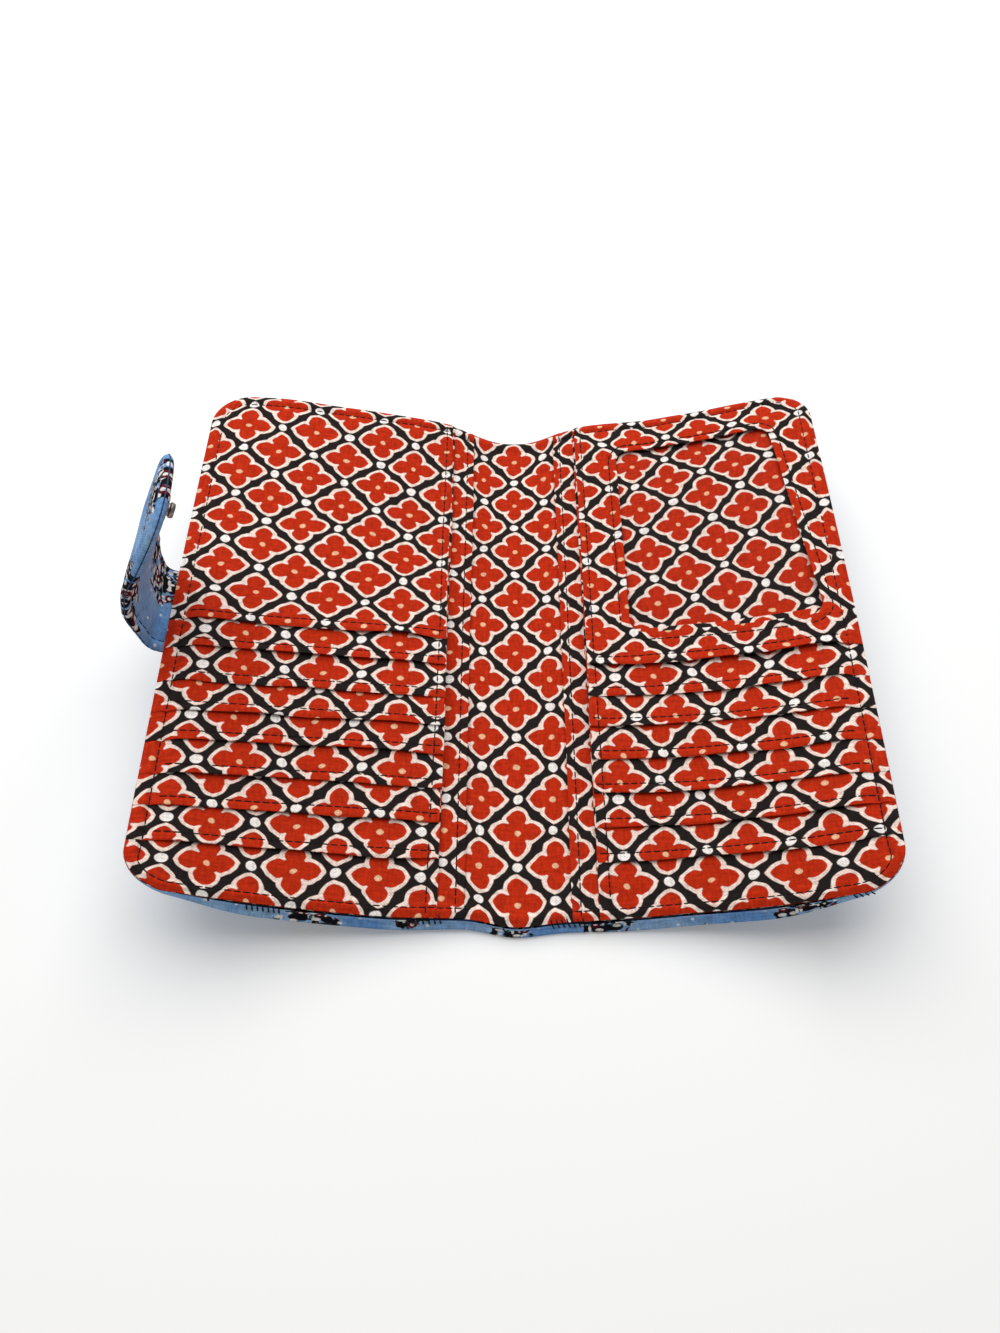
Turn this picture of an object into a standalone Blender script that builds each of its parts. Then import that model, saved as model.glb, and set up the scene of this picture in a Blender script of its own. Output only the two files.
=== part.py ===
"""Tab wallet, lying open on its spine with both covers a little raised.

Metres, +Z up. The origin is the centre of the spine's outer face, which rests on the ground. X runs across
the wallet and Y along it. The card slots open towards -Y, and the tab stands at the back cover's edge, at -X.
On a cover, u is the distance from its crease towards its outer edge, and w the height above its outer face.
"""
import math

import bmesh
import bpy

# The wallet
LENGTH = 0.1985
COVER_WIDTH = 0.105
COVER_CORNER = 0.0105
OPEN_ANGLE = math.radians(15.0)

# How the padded covers bow out of flat, as heights at equal steps from a little past the crease to the outer
# edge: they sag at the end at -Y and swell at the end at +Y, and are flat halfway. The front cover sags more
BOW_START = 0.006
BACK_NEAR_BOW = (0.0, -0.0029, -0.0033, -0.0015, 0.0025)
FRONT_NEAR_BOW = (0.0, -0.0046, -0.0052, -0.0026, 0.0031)
FAR_BOW = (0.0, 0.0039, 0.0037, 0.0015, -0.0027)
BOW_ROWS = 4

# Layers of a cover and of the spine, and the gap that keeps two of them apart
GAP = 0.0003
EXTERIOR_THICKNESS = 0.0008
BATTING_THICKNESS = 0.0018
LINING_THICKNESS = 0.0005
SLIP_THICKNESS = 0.0006
PANEL_THICKNESS = 0.0006
POCKET_THICKNESS = 0.0005
FILM_THICKNESS = 0.0003
SEAM_INSET = 0.0006

# Slip pocket and card panel: how far from the crease each one's free edge lies
SLIP_START = 0.0053
PANEL_START = 0.0135

# Stepped card pockets. Number 0 is the top layer and the last one lies lowest, its free edge at the given
# margin from the end at -Y
POCKET_COUNT = 7
LOWEST_EDGE_MARGIN = 0.01805
POCKET_STEP = 0.0116
POCKET_DEPTH = 0.0452
CARD_ROOM = 0.0014

# Window in the front cover's top pocket, by the width of its border
WINDOW_INNER_BORDER = 0.0165
WINDOW_OUTER_BORDER = 0.0104
WINDOW_NEAR_BORDER = 0.0176
WINDOW_FAR_BORDER = 0.01465
WINDOW_CORNER = 0.005
FILM_LAP = 0.004

# Tab
TAB_WIDTH = 0.033
TAB_CENTRE_Y = -0.0027
TAB_END_LENGTH = 0.0408
TAB_EXTERIOR_THICKNESS = 0.0007
TAB_PADDING_THICKNESS = 0.0014
TAB_LINING_THICKNESS = 0.0005
TAB_ROOT_ANGLE = math.radians(69.5)
TAB_END_ANGLE = math.radians(33.0)

# Snap
SNAP_FROM_TIP = 0.014
STUD_FLANGE_RADIUS = 0.0045
STUD_FLANGE_THICKNESS = 0.0008
STUD_POST_HEIGHT = 0.0021
STUD_HEAD_RADIUS = 0.0024
STUD_NECK_RADIUS = 0.0019
SOCKET_FLANGE_RADIUS = 0.006
SOCKET_FLANGE_THICKNESS = 0.0008
SOCKET_DRUM_RADIUS = 0.0043
SOCKET_BASE_THICKNESS = 0.0005
SNAP_CLEARANCE = 0.0005
SOCKET_GAP = 0.0004
BACKING_RADIUS = 0.0042
BACKING_HOLE_RADIUS = 0.0015
BACKING_THICKNESS = 0.0004

# How far a cutter runs past what it cuts, and how finely curves are drawn
OVERRUN = 0.002
WELD = 0.000001
ARC_STEPS = 8
TURN_STEPS = 32

# Heights of the layers, from the outer face inwards
BATTING_W = EXTERIOR_THICKNESS + GAP
LINING_W = BATTING_W + BATTING_THICKNESS + GAP
TRAY_DEPTH = LINING_W + LINING_THICKNESS
SLIP_W = TRAY_DEPTH + GAP
PANEL_W = SLIP_W + SLIP_THICKNESS + GAP
POCKET_W = PANEL_W + PANEL_THICKNESS + GAP
POCKET_PITCH = POCKET_THICKNESS + GAP
FILM_PITCH = FILM_THICKNESS + GAP
STACK_LAYERS = min(POCKET_COUNT - 1, POCKET_DEPTH / POCKET_STEP)
STACK_TOP = POCKET_W + POCKET_PITCH * STACK_LAYERS + FILM_PITCH + POCKET_THICKNESS

# Creases. A cover turns about the middle of its outer layer
AXIS_W = EXTERIOR_THICKNESS / 2
COVER_START = AXIS_W + GAP
SPINE_WIDTH = 2 * (STACK_TOP - AXIS_W + CARD_ROOM)
CREASE_SWING = math.hypot(COVER_START, TRAY_DEPTH - AXIS_W)
SPINE_INNER_WIDTH = SPINE_WIDTH - 2 * (CREASE_SWING + GAP)
TRAY_INSET = EXTERIOR_THICKNESS + GAP

# Tab folds. The tab's middle plane passes through both fold axes
TAB_CORE = TAB_PADDING_THICKNESS / 2
TAB_OUTER = TAB_CORE + GAP + TAB_EXTERIOR_THICKNESS
TAB_INNER = TAB_CORE + GAP + TAB_LINING_THICKNESS
TAB_ROOT_U = COVER_WIDTH + GAP + TAB_OUTER
TAB_ROOT_W = TRAY_DEPTH / 2
TAB_LINING_HOLD = TAB_INNER + GAP

# Snap stack, from the front cover's outer face to the tab's inner face when the tab is closed
SOCKET_BORE_RADIUS = STUD_HEAD_RADIUS + SNAP_CLEARANCE
SOCKET_HEIGHT = SOCKET_BASE_THICKNESS + STUD_POST_HEIGHT
SNAP_STACK = SOCKET_HEIGHT + STUD_FLANGE_THICKNESS + 3 * GAP
CLOSED_THICKNESS = SPINE_WIDTH + EXTERIOR_THICKNESS
TAB_ROOT_LENGTH = CLOSED_THICKNESS + SNAP_STACK + TAB_INNER - TAB_ROOT_W
STUD_FROM_FOLD = TAB_END_LENGTH - SNAP_FROM_TIP
SOCKET_U = TAB_ROOT_U - STUD_FROM_FOLD

BACK = -1
FRONT = 1


def clear_scene():
    """Remove what the file holds at the start."""
    for item in list(bpy.data.objects):
        bpy.data.objects.remove(item, do_unlink=True)


def collection(name):
    """Add a collection to the scene."""
    group = bpy.data.collections.new(name)
    bpy.context.scene.collection.children.link(group)
    return group


def finish(name, colour, roughness, metallic=0.0, alpha=1.0):
    """Make a plain material."""
    look = bpy.data.materials.new(name)
    look.use_nodes = True
    shader = look.node_tree.nodes["Principled BSDF"]
    shader.inputs["Base Color"].default_value = (*colour, 1.0)
    shader.inputs["Roughness"].default_value = roughness
    shader.inputs["Metallic"].default_value = metallic
    shader.inputs["Alpha"].default_value = alpha
    return look


def arc(centre, radius, start, end, steps=ARC_STEPS):
    """Points along an arc, its angles in degrees."""
    angles = [math.radians(start + (end - start) * step / steps) for step in range(steps + 1)]
    return [(centre[0] + radius * math.cos(a), centre[1] + radius * math.sin(a)) for a in angles]


def circle(radius):
    """Points round a circle."""
    return arc((0.0, 0.0), radius, 0, 360, TURN_STEPS)[:-1]


def extruded(name, outlines, thickness):
    """A flat outline, with any holes, drawn in XY and given a thickness about Z, as a welded mesh."""
    curve = bpy.data.curves.new(name, "CURVE")
    curve.dimensions = "2D"
    curve.fill_mode = "BOTH"
    curve.extrude = thickness / 2
    for outline in outlines:
        spline = curve.splines.new("POLY")
        spline.points.add(len(outline) - 1)
        for point, (x, y) in zip(spline.points, outline):
            point.co = (x, y, 0.0, 1.0)
        spline.use_cyclic_u = True
    drawn = bpy.data.objects.new(name, curve)
    bpy.context.scene.collection.objects.link(drawn)
    bpy.context.view_layer.update()
    graph = bpy.context.evaluated_depsgraph_get()
    mesh = bpy.data.meshes.new_from_object(drawn.evaluated_get(graph))
    bpy.data.objects.remove(drawn, do_unlink=True)
    welded = bmesh.new()
    welded.from_mesh(mesh)
    bmesh.ops.remove_doubles(welded, verts=welded.verts, dist=WELD)
    welded.to_mesh(mesh)
    welded.free()
    mesh.name = name
    return bpy.data.objects.new(name, mesh)


def turned(name, profile):
    """A round piece from a profile of radius and height that runs from the top to the bottom."""
    mesh = bpy.data.meshes.new(name)
    points = [(radius, 0.0, height) for radius, height in profile]
    mesh.from_pydata(points, [(i, i + 1) for i in range(len(points) - 1)], [])
    piece = bpy.data.objects.new(name, mesh)
    screw = piece.modifiers.new("Turn", "SCREW")
    screw.axis = "Z"
    screw.steps = TURN_STEPS
    screw.render_steps = TURN_STEPS
    screw.use_merge_vertices = True
    screw.merge_threshold = WELD
    screw.use_smooth_shade = True
    return piece


def place(piece, look, parent=None, location=(0.0, 0.0, 0.0), rotation=(0.0, 0.0, 0.0)):
    """Put a finished piece in the wallet."""
    piece.data.materials.clear()
    piece.data.materials.append(look)
    piece.parent = parent
    piece.location = location
    piece.rotation_euler = rotation
    WALLET.objects.link(piece)
    return piece


def cut(piece, cutter, operation="DIFFERENCE"):
    """Cut, join or trim a piece with a second solid that moves with it."""
    cutter.parent = piece.parent
    cutter.hide_render = True
    cutter.display_type = "WIRE"
    CUTTERS.objects.link(cutter)
    boolean = piece.modifiers.new(operation.title(), "BOOLEAN")
    boolean.operation = operation
    boolean.solver = "EXACT"
    boolean.object = cutter


def axis_empty(name, parent, location, angle):
    """An empty on a fold's axis. Its rotation is the fold's angle at rest."""
    empty = bpy.data.objects.new(name, None)
    empty.empty_display_size = TAB_WIDTH
    empty.parent = parent
    empty.location = location
    empty.rotation_euler = (0.0, angle, 0.0)
    WALLET.objects.link(empty)
    return empty


def cover_outline(side, inner_u, inset):
    """A cover's outline, square at the crease and rounded at the two outer corners."""
    half = LENGTH / 2 - inset
    outer = COVER_WIDTH - inset
    radius = COVER_CORNER - inset
    near = arc((outer - radius, radius - half), radius, -90, 0)
    far = arc((outer - radius, half - radius), radius, 0, 90)
    outline = [(inner_u, -half), *near, *far, (inner_u, half)]
    return [(side * u, y) for u, y in outline]


def rounded_box_outline(side, low, high, radius):
    """A rectangle on a cover, from its low to its high corner in u and y, with four rounded corners."""
    outline = (
        arc((low[0] + radius, low[1] + radius), radius, 180, 270)
        + arc((high[0] - radius, low[1] + radius), radius, 270, 360)
        + arc((high[0] - radius, high[1] - radius), radius, 0, 90)
        + arc((low[0] + radius, high[1] - radius), radius, 90, 180)
    )
    return [(side * u, y) for u, y in outline]


def cover_layer(name, look, side, crease, inner_u, inset, bottom, thickness):
    """A flat layer over a whole cover."""
    piece = extruded(name, [cover_outline(side, inner_u, inset)], thickness)
    return place(piece, look, crease, (0.0, 0.0, bottom + thickness / 2 - AXIS_W))


def cover_block(name, outline, low, high):
    """A prism that stands on a cover from one height to another, for a cut."""
    block = extruded(name, [outline], high - low)
    block.location = (0.0, 0.0, (low + high) / 2 - AXIS_W)
    return block


def cover_exterior(name, side, crease):
    """Outer cotton: a shallow tray that turns up round the batting on three edges."""
    tray = cover_layer(name, OUTER_COTTON, side, crease, COVER_START, 0.0, 0.0, TRAY_DEPTH)
    inside = cover_outline(side, COVER_START - OVERRUN, EXTERIOR_THICKNESS)
    cut(tray, cover_block(name + "_hollow", inside, EXTERIOR_THICKNESS, TRAY_DEPTH + OVERRUN))


def bow_height(side, u, y):
    """How far the bow lifts a point of a cover. The bow is flat within each triangle of its grid."""
    near_bow = FRONT_NEAR_BOW if side == FRONT else BACK_NEAR_BOW
    if u < BOW_START:
        return 0.0
    columns = len(near_bow) - 1
    across = (u - BOW_START) / (COVER_WIDTH - BOW_START) * columns
    along = (y / LENGTH + 0.5) * BOW_ROWS
    column = min(max(math.floor(across), 0), columns - 1)
    row = min(max(math.floor(along), 0), BOW_ROWS - 1)
    across -= column
    along -= row

    def knot(i, j):
        share = 2 * j / BOW_ROWS - 1
        return max(share, 0.0) * FAR_BOW[i] + max(-share, 0.0) * near_bow[i]

    start = knot(column, row)
    end = knot(column + 1, row + 1)
    if across > along:
        turn = knot(column + 1, row)
        return start + across * (turn - start) + along * (end - turn)
    turn = knot(column, row + 1)
    return start + along * (turn - start) + across * (end - turn)


def bow_planes(side):
    """The upright planes along which the bow's grid bends: a point and a direction across each."""
    columns = len(FAR_BOW) - 1
    step_u = (COVER_WIDTH - BOW_START) / columns
    step_y = LENGTH / BOW_ROWS
    planes = [((side * (BOW_START + step_u * i), 0.0, 0.0), (1.0, 0.0, 0.0)) for i in range(columns)]
    planes += [((0.0, step_y * j - LENGTH / 2, 0.0), (0.0, 1.0, 0.0)) for j in range(1, BOW_ROWS)]
    for line in range(1 - columns, BOW_ROWS):
        start = (side * BOW_START, step_y * line - LENGTH / 2, 0.0)
        planes.append((start, (-side * step_y, step_u, 0.0)))
    return planes


def bowed(piece, side):
    """Bow a finished flat piece of a cover: bake it, cut it along the bow's grid and lift its points."""
    bpy.context.view_layer.update()
    graph = bpy.context.evaluated_depsgraph_get()
    baked = bpy.data.meshes.new_from_object(piece.evaluated_get(graph))
    baked.transform(piece.matrix_basis)
    work = bmesh.new()
    work.from_mesh(baked)
    for point, across in bow_planes(side):
        geometry = work.verts[:] + work.edges[:] + work.faces[:]
        bmesh.ops.bisect_plane(work, geom=geometry, dist=WELD, plane_co=point, plane_no=across)
    for vertex in work.verts:
        vertex.co.z += bow_height(side, side * vertex.co.x, vertex.co.y)
    work.to_mesh(baked)
    work.free()
    baked.name = piece.name
    for boolean in list(piece.modifiers):
        bpy.data.objects.remove(boolean.object, do_unlink=True)
    piece.modifiers.clear()
    piece.data = baked
    piece.location = (0.0, 0.0, 0.0)
    piece.rotation_euler = (0.0, 0.0, 0.0)


def bow_cover(prefix, side, crease):
    """Bow every layer of a cover."""
    for piece in list(WALLET.objects):
        if piece.type == "MESH" and piece.parent == crease and piece.name.startswith(prefix):
            bowed(piece, side)


def edge_y(number):
    """Where a pocket's free edge lies."""
    return LOWEST_EDGE_MARGIN - LENGTH / 2 + POCKET_STEP * (POCKET_COUNT - number)


def pocket_rise(number, y):
    """How far a pocket is lifted at y by the pockets that lie under it there."""
    layers = (edge_y(number) + POCKET_DEPTH - y) / POCKET_STEP
    return POCKET_PITCH * min(max(layers, 0.0), POCKET_COUNT - number)


def pocket_profile(number, start, end, bottom, thickness):
    """Side view of a layer, in y and w, that lies over the pockets below the given one."""
    level = edge_y(POCKET_COUNT) + POCKET_DEPTH
    bends = [y for y in (level, edge_y(number) + POCKET_DEPTH) if start + WELD < y < end - WELD]
    places = sorted({start, *bends, end})
    under = [(y, bottom + pocket_rise(number, y)) for y in places]
    return under + [(y, w + thickness) for y, w in reversed(under)]


def pocket_layer(name, look, side, crease, profile, start_u, end_u):
    """A pocket's cloth: its side view carried across the cover."""
    piece = extruded(name, [profile], end_u - start_u)
    location = (side * (start_u + end_u) / 2, 0.0, -AXIS_W)
    return place(piece, look, crease, location, (math.pi / 2, 0.0, math.pi / 2))


def trim_to_cover(piece, side):
    """Round a top pocket's far corner like the cover under it."""
    outline = cover_outline(side, PANEL_START - OVERRUN, SEAM_INSET)
    cut(piece, cover_block(piece.name + "_trim", outline, 0.0, STACK_TOP + OVERRUN), "INTERSECT")


def card_pockets(prefix, side, crease, first):
    """The stepped pockets from the given number down to the lowest."""
    for number in range(first, POCKET_COUNT + 1):
        start = edge_y(number)
        profile = pocket_profile(number, start, start + POCKET_DEPTH, POCKET_W, POCKET_THICKNESS)
        name = f"{prefix}_card_pocket_{number}"
        pocket_layer(name, POCKET_COTTON, side, crease, profile, PANEL_START, COVER_WIDTH - SEAM_INSET)


def top_pocket(name, side, crease, number, lift):
    """A top pocket: it runs from its free edge to the far end of the cover."""
    profile = pocket_profile(
        number, edge_y(number), LENGTH / 2 + OVERRUN, POCKET_W + lift, POCKET_THICKNESS)
    piece = pocket_layer(name, POCKET_COTTON, side, crease, profile, PANEL_START, COVER_WIDTH + OVERRUN)
    trim_to_cover(piece, side)
    return piece


def window_limits():
    """Low and high corner of the window's opening, in u and y on the front cover."""
    low = (PANEL_START + WINDOW_INNER_BORDER, edge_y(1) + WINDOW_NEAR_BORDER)
    high = (COVER_WIDTH - SEAM_INSET - WINDOW_OUTER_BORDER, LENGTH / 2 - SEAM_INSET - WINDOW_FAR_BORDER)
    return low, high


def window(crease):
    """The front cover's top pocket with its rounded window, and the clear film sewn behind it."""
    low, high = window_limits()
    frame = top_pocket("front_window_frame", FRONT, crease, 1, FILM_PITCH)
    opening = rounded_box_outline(FRONT, low, high, WINDOW_CORNER)
    cut(frame, cover_block("window_opening", opening, 0.0, STACK_TOP + OVERRUN))
    profile = pocket_profile(1, low[1] - FILM_LAP, high[1] + FILM_LAP, POCKET_W, FILM_THICKNESS)
    pocket_layer("front_window_film", CLEAR_VINYL, FRONT, crease, profile,
                 low[0] - FILM_LAP, high[0] + FILM_LAP)


def inner_layers(prefix, side, crease):
    """Batting, lining, slip pocket and card panel of a cover."""
    batting = cover_layer(prefix + "_batting", BATTING, side, crease,
                          COVER_START, TRAY_INSET, BATTING_W, BATTING_THICKNESS)
    cover_layer(prefix + "_lining", LINING_COTTON, side, crease,
                COVER_START, TRAY_INSET, LINING_W, LINING_THICKNESS)
    cover_layer(prefix + "_slip_pocket", POCKET_COTTON, side, crease,
                SLIP_START, SEAM_INSET, SLIP_W, SLIP_THICKNESS)
    cover_layer(prefix + "_card_panel", POCKET_COTTON, side, crease,
                PANEL_START, SEAM_INSET, PANEL_W, PANEL_THICKNESS)
    return batting


def spine():
    """The spine: outer cotton with turned-up ends, batting and lining. Its long edges are round."""
    half = SPINE_WIDTH / 2
    section = arc((half, AXIS_W), AXIS_W, -90, 90) + arc((-half, AXIS_W), AXIS_W, 90, 270)
    exterior = place(extruded("spine_exterior", [section], LENGTH), OUTER_COTTON,
                     rotation=(math.pi / 2, 0.0, 0.0))
    inner_half = SPINE_INNER_WIDTH / 2
    for end in (-1, 1):
        low = end * (LENGTH / 2 - EXTERIOR_THICKNESS)
        high = end * LENGTH / 2
        outline = [(-inner_half, low), (inner_half, low), (inner_half, high), (-inner_half, high)]
        cut(exterior, spine_block(f"spine_turn_up_{end}", outline, AXIS_W, TRAY_DEPTH), "UNION")
    half_length = LENGTH / 2 - TRAY_INSET
    inside = [(-inner_half, -half_length), (inner_half, -half_length),
              (inner_half, half_length), (-inner_half, half_length)]
    place(spine_block("spine_batting", inside, BATTING_W, LINING_W - GAP), BATTING)
    place(spine_block("spine_lining", inside, LINING_W, TRAY_DEPTH), LINING_COTTON)


def spine_block(name, outline, low, high):
    """A prism on the spine, its mesh already at its height."""
    block = extruded(name, [outline], high - low)
    for vertex in block.data.vertices:
        vertex.co.z += (low + high) / 2
    return block


def tab_bar(name, look, fold, profile):
    """A layer of the tab's root: a side view in the fold's own X and Z, carried across the tab."""
    piece = extruded(name, [profile], TAB_WIDTH)
    return place(piece, look, fold, rotation=(math.pi / 2, 0.0, 0.0))


def tab_root(fold):
    """The tab between its two folds. The outer cotton wraps round the root."""
    bottom = -TAB_OUTER
    skin = bottom + TAB_EXTERIOR_THICKNESS
    end = -TAB_ROOT_LENGTH + GAP / 2
    wrap = arc((0.0, 0.0), TAB_OUTER, -90, 90)
    inner_wrap = arc((0.0, 0.0), TAB_CORE + GAP, 90, -90)
    tab_bar("tab_root_exterior", OUTER_COTTON, fold, [(end, bottom), *wrap, *inner_wrap, (end, skin)])
    padding = arc((0.0, 0.0), TAB_CORE, -90, 90) + arc((-TAB_ROOT_LENGTH, 0.0), TAB_CORE, 90, 270)
    tab_bar("tab_root_padding", BATTING, fold, padding)
    low = TAB_CORE + GAP
    far = -TAB_ROOT_LENGTH + TAB_LINING_HOLD
    lining = [(far, low), (-GAP, low), (-GAP, TAB_INNER), (far, TAB_INNER)]
    tab_bar("tab_root_lining", OUTER_COTTON, fold, lining)


def tab_tip_outline(start):
    """The tab's round-ended outline, from the given distance past its second fold."""
    half = TAB_WIDTH / 2
    tip = arc((-TAB_END_LENGTH + half, 0.0), half, 90, 270, 3 * ARC_STEPS)
    return [(-start, half), *tip, (-start, -half)]


def tab_plate(name, look, fold, start, low, high):
    """A flat layer of the tab's end."""
    piece = extruded(name, [tab_tip_outline(start)], high - low)
    return place(piece, look, fold, (0.0, 0.0, (low + high) / 2))


def tab_end(fold):
    """The round-ended part of the tab past its second fold."""
    tab_plate("tab_end_exterior", OUTER_COTTON, fold, GAP / 2, -TAB_OUTER, -TAB_CORE - GAP)
    padding = tab_plate("tab_end_padding", BATTING, fold, TAB_CORE + GAP, -TAB_CORE, TAB_CORE)
    low = TAB_CORE - BACKING_THICKNESS - GAP
    cut(padding, round_cutter("stud_seat", low, TAB_CORE + OVERRUN, (-STUD_FROM_FOLD, 0.0)))
    tab_plate("tab_end_lining", OUTER_COTTON, fold, TAB_LINING_HOLD, TAB_CORE + GAP, TAB_INNER)


def round_cutter(name, low, high, centre):
    """A round seat for a backing ring."""
    seat = extruded(name, [circle(BACKING_RADIUS + GAP)], high - low)
    seat.location = (*centre, (low + high) / 2)
    return seat


def backing_ring(name, parent, location):
    """The flat ring inside the cloth that a half of the snap is fixed to."""
    rims = [circle(radius) for radius in (BACKING_RADIUS, BACKING_HOLE_RADIUS)]
    place(extruded(name, rims, BACKING_THICKNESS), NICKEL, parent, location)


def snap_stud(fold):
    """The stud on the tab's inner face: a flange, a neck and a round head."""
    flange = STUD_FLANGE_THICKNESS
    top = flange + STUD_POST_HEIGHT
    head = top - STUD_HEAD_RADIUS / 2
    crown = arc((0.0, head), STUD_HEAD_RADIUS, 30, 0, ARC_STEPS // 2)
    profile = [
        (0.0, top),
        *crown,
        (STUD_NECK_RADIUS, flange + STUD_POST_HEIGHT / 4),
        (STUD_NECK_RADIUS, flange),
        (STUD_FLANGE_RADIUS - flange / 2, flange),
        (STUD_FLANGE_RADIUS, flange / 2),
        (STUD_FLANGE_RADIUS, 0.0),
        (0.0, 0.0),
    ]
    place(turned("snap_stud", profile), NICKEL, fold, (-STUD_FROM_FOLD, 0.0, TAB_INNER + GAP))
    ring = TAB_CORE - BACKING_THICKNESS / 2
    backing_ring("stud_backing", fold, (-STUD_FROM_FOLD, 0.0, ring))


def snap_socket(crease, batting):
    """The socket on the front cover's outer face, open away from the cover, and its ring inside."""
    flange = SOCKET_FLANGE_THICKNESS
    profile = [
        (0.0, SOCKET_BASE_THICKNESS),
        (SOCKET_BORE_RADIUS, SOCKET_BASE_THICKNESS),
        (SOCKET_BORE_RADIUS, SOCKET_HEIGHT),
        (SOCKET_DRUM_RADIUS, SOCKET_HEIGHT),
        (SOCKET_DRUM_RADIUS, flange),
        (SOCKET_FLANGE_RADIUS - flange / 2, flange),
        (SOCKET_FLANGE_RADIUS, flange / 2),
        (SOCKET_FLANGE_RADIUS, 0.0),
        (0.0, 0.0),
    ]
    lift = bow_height(FRONT, SOCKET_U, TAB_CENTRE_Y)
    location = (SOCKET_U, TAB_CENTRE_Y, lift - SOCKET_GAP - AXIS_W)
    place(turned("snap_socket", profile), NICKEL, crease, location, (math.pi, 0.0, 0.0))
    seat_top = BATTING_W + BACKING_THICKNESS + GAP - AXIS_W
    seat = round_cutter("socket_seat", BATTING_W - AXIS_W - OVERRUN, seat_top, (SOCKET_U, TAB_CENTRE_Y))
    cut(batting, seat)
    ring = lift + BATTING_W + BACKING_THICKNESS / 2 - AXIS_W
    backing_ring("socket_backing", crease, (SOCKET_U, TAB_CENTRE_Y, ring))


def back_cover():
    """The cover at -X, with seven card pockets, a large pocket and the tab."""
    crease = axis_empty("back_crease", None, (-SPINE_WIDTH / 2, 0.0, AXIS_W), OPEN_ANGLE)
    cover_exterior("back_exterior", BACK, crease)
    inner_layers("back", BACK, crease)
    card_pockets("back", BACK, crease, 1)
    top_pocket("back_large_pocket", BACK, crease, 0, 0.0)
    bow_cover("back_", BACK, crease)
    root_place = (-TAB_ROOT_U, TAB_CENTRE_Y, TAB_ROOT_W - AXIS_W)
    root_fold = axis_empty("tab_root_fold", crease, root_place, TAB_ROOT_ANGLE)
    tab_root(root_fold)
    end_fold = axis_empty("tab_end_fold", root_fold, (-TAB_ROOT_LENGTH, 0.0, 0.0), TAB_END_ANGLE)
    tab_end(end_fold)
    snap_stud(end_fold)


def front_cover():
    """The cover at +X, with six card pockets, the window and the snap's socket."""
    crease = axis_empty("front_crease", None, (SPINE_WIDTH / 2, 0.0, AXIS_W), -OPEN_ANGLE)
    cover_exterior("front_exterior", FRONT, crease)
    batting = inner_layers("front", FRONT, crease)
    card_pockets("front", FRONT, crease, 2)
    window(crease)
    snap_socket(crease, batting)
    bow_cover("front_", FRONT, crease)


clear_scene()
WALLET = collection("tab_wallet")
CUTTERS = collection("cutters")
OUTER_COTTON = finish("outer_cotton", (0.21, 0.40, 0.70), 0.85)
LINING_COTTON = finish("lining_cotton", (0.10, 0.03, 0.03), 0.85)
POCKET_COTTON = finish("pocket_cotton", (0.42, 0.04, 0.02), 0.85)
BATTING = finish("batting", (0.85, 0.84, 0.80), 0.95)
CLEAR_VINYL = finish("clear_vinyl", (0.90, 0.92, 0.93), 0.15, alpha=0.3)
NICKEL = finish("antique_nickel", (0.42, 0.38, 0.34), 0.35, metallic=1.0)
spine()
back_cover()
front_cover()
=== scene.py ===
import math

import bpy
import numpy as np
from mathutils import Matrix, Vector


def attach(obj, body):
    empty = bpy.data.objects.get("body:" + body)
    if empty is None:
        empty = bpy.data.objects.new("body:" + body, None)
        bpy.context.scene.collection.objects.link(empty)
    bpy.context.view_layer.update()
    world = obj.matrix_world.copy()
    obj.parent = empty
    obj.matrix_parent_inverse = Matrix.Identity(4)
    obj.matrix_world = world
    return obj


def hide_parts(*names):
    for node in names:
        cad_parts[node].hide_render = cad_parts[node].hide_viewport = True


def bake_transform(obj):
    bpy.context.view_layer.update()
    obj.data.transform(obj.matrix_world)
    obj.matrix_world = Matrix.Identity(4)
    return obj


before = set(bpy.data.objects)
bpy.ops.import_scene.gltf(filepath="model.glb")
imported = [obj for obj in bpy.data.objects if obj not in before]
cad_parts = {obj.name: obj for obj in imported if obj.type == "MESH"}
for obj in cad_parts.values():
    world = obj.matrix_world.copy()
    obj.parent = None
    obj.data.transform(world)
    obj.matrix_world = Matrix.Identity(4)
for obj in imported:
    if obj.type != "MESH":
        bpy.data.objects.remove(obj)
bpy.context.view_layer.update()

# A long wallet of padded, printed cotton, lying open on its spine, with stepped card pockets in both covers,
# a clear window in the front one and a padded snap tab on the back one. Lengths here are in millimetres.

MM = 0.001
BACK, FRONT = -1, 1
COVER_BODY = {BACK: "back_cover", FRONT: "front_cover"}
SIDE_NAME = {BACK: "back", FRONT: "front"}

# Cover, measured along its lining: a is out from the middle of the spine, y along it, w above the outer face.
REACH = {BACK: 115.6, FRONT: 113.8}
WIDTH = 116.0
HALF_LENGTH = 99.0
NEAR_CORNER = 14.5
FAR_CORNER = 13.5
CORE = 3.7
LINING_PLY = 0.5
OUTER_PLY = 0.8

# How the padding swells under the lining and rolls down to the edge seam: each swell's height, size and seed.
LINING_SWELLS = ((0.30, 19.0, 3), (0.12, 6.0, 4))
SWELL_START = 12.0
EDGE_SEAM = 3.5
SEAM_LIFT = 0.25
LINING_ROLL = 2.8
EDGE_PUFF = 0.9
PUFF_AT = 2.4
PUFF_SPREAD = 1.8

# The outer cloth: how it rolls up to the seam, and the lip and the sag of its near edge.
OUTER_ROLL = 3.4
OUTER_LIP = -0.2
TURNED_CLOTH = 4.5
SEAM_LIP = 0.9
NEAR_LIP = 4.3
LIP_TURN = 1.7
NEAR_SAG = 2.0
OUTER_SWELL = 0.18

# How the open covers rise from the spine: slope in degrees at the spine and at the outer edge, at each end.
NEAR_SLOPE = {BACK: (3.5, 27.0), FRONT: (-1.5, 32.0)}
FAR_SLOPE = (24.4, 2.8)
SPINE_ROUND = 14.0

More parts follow.
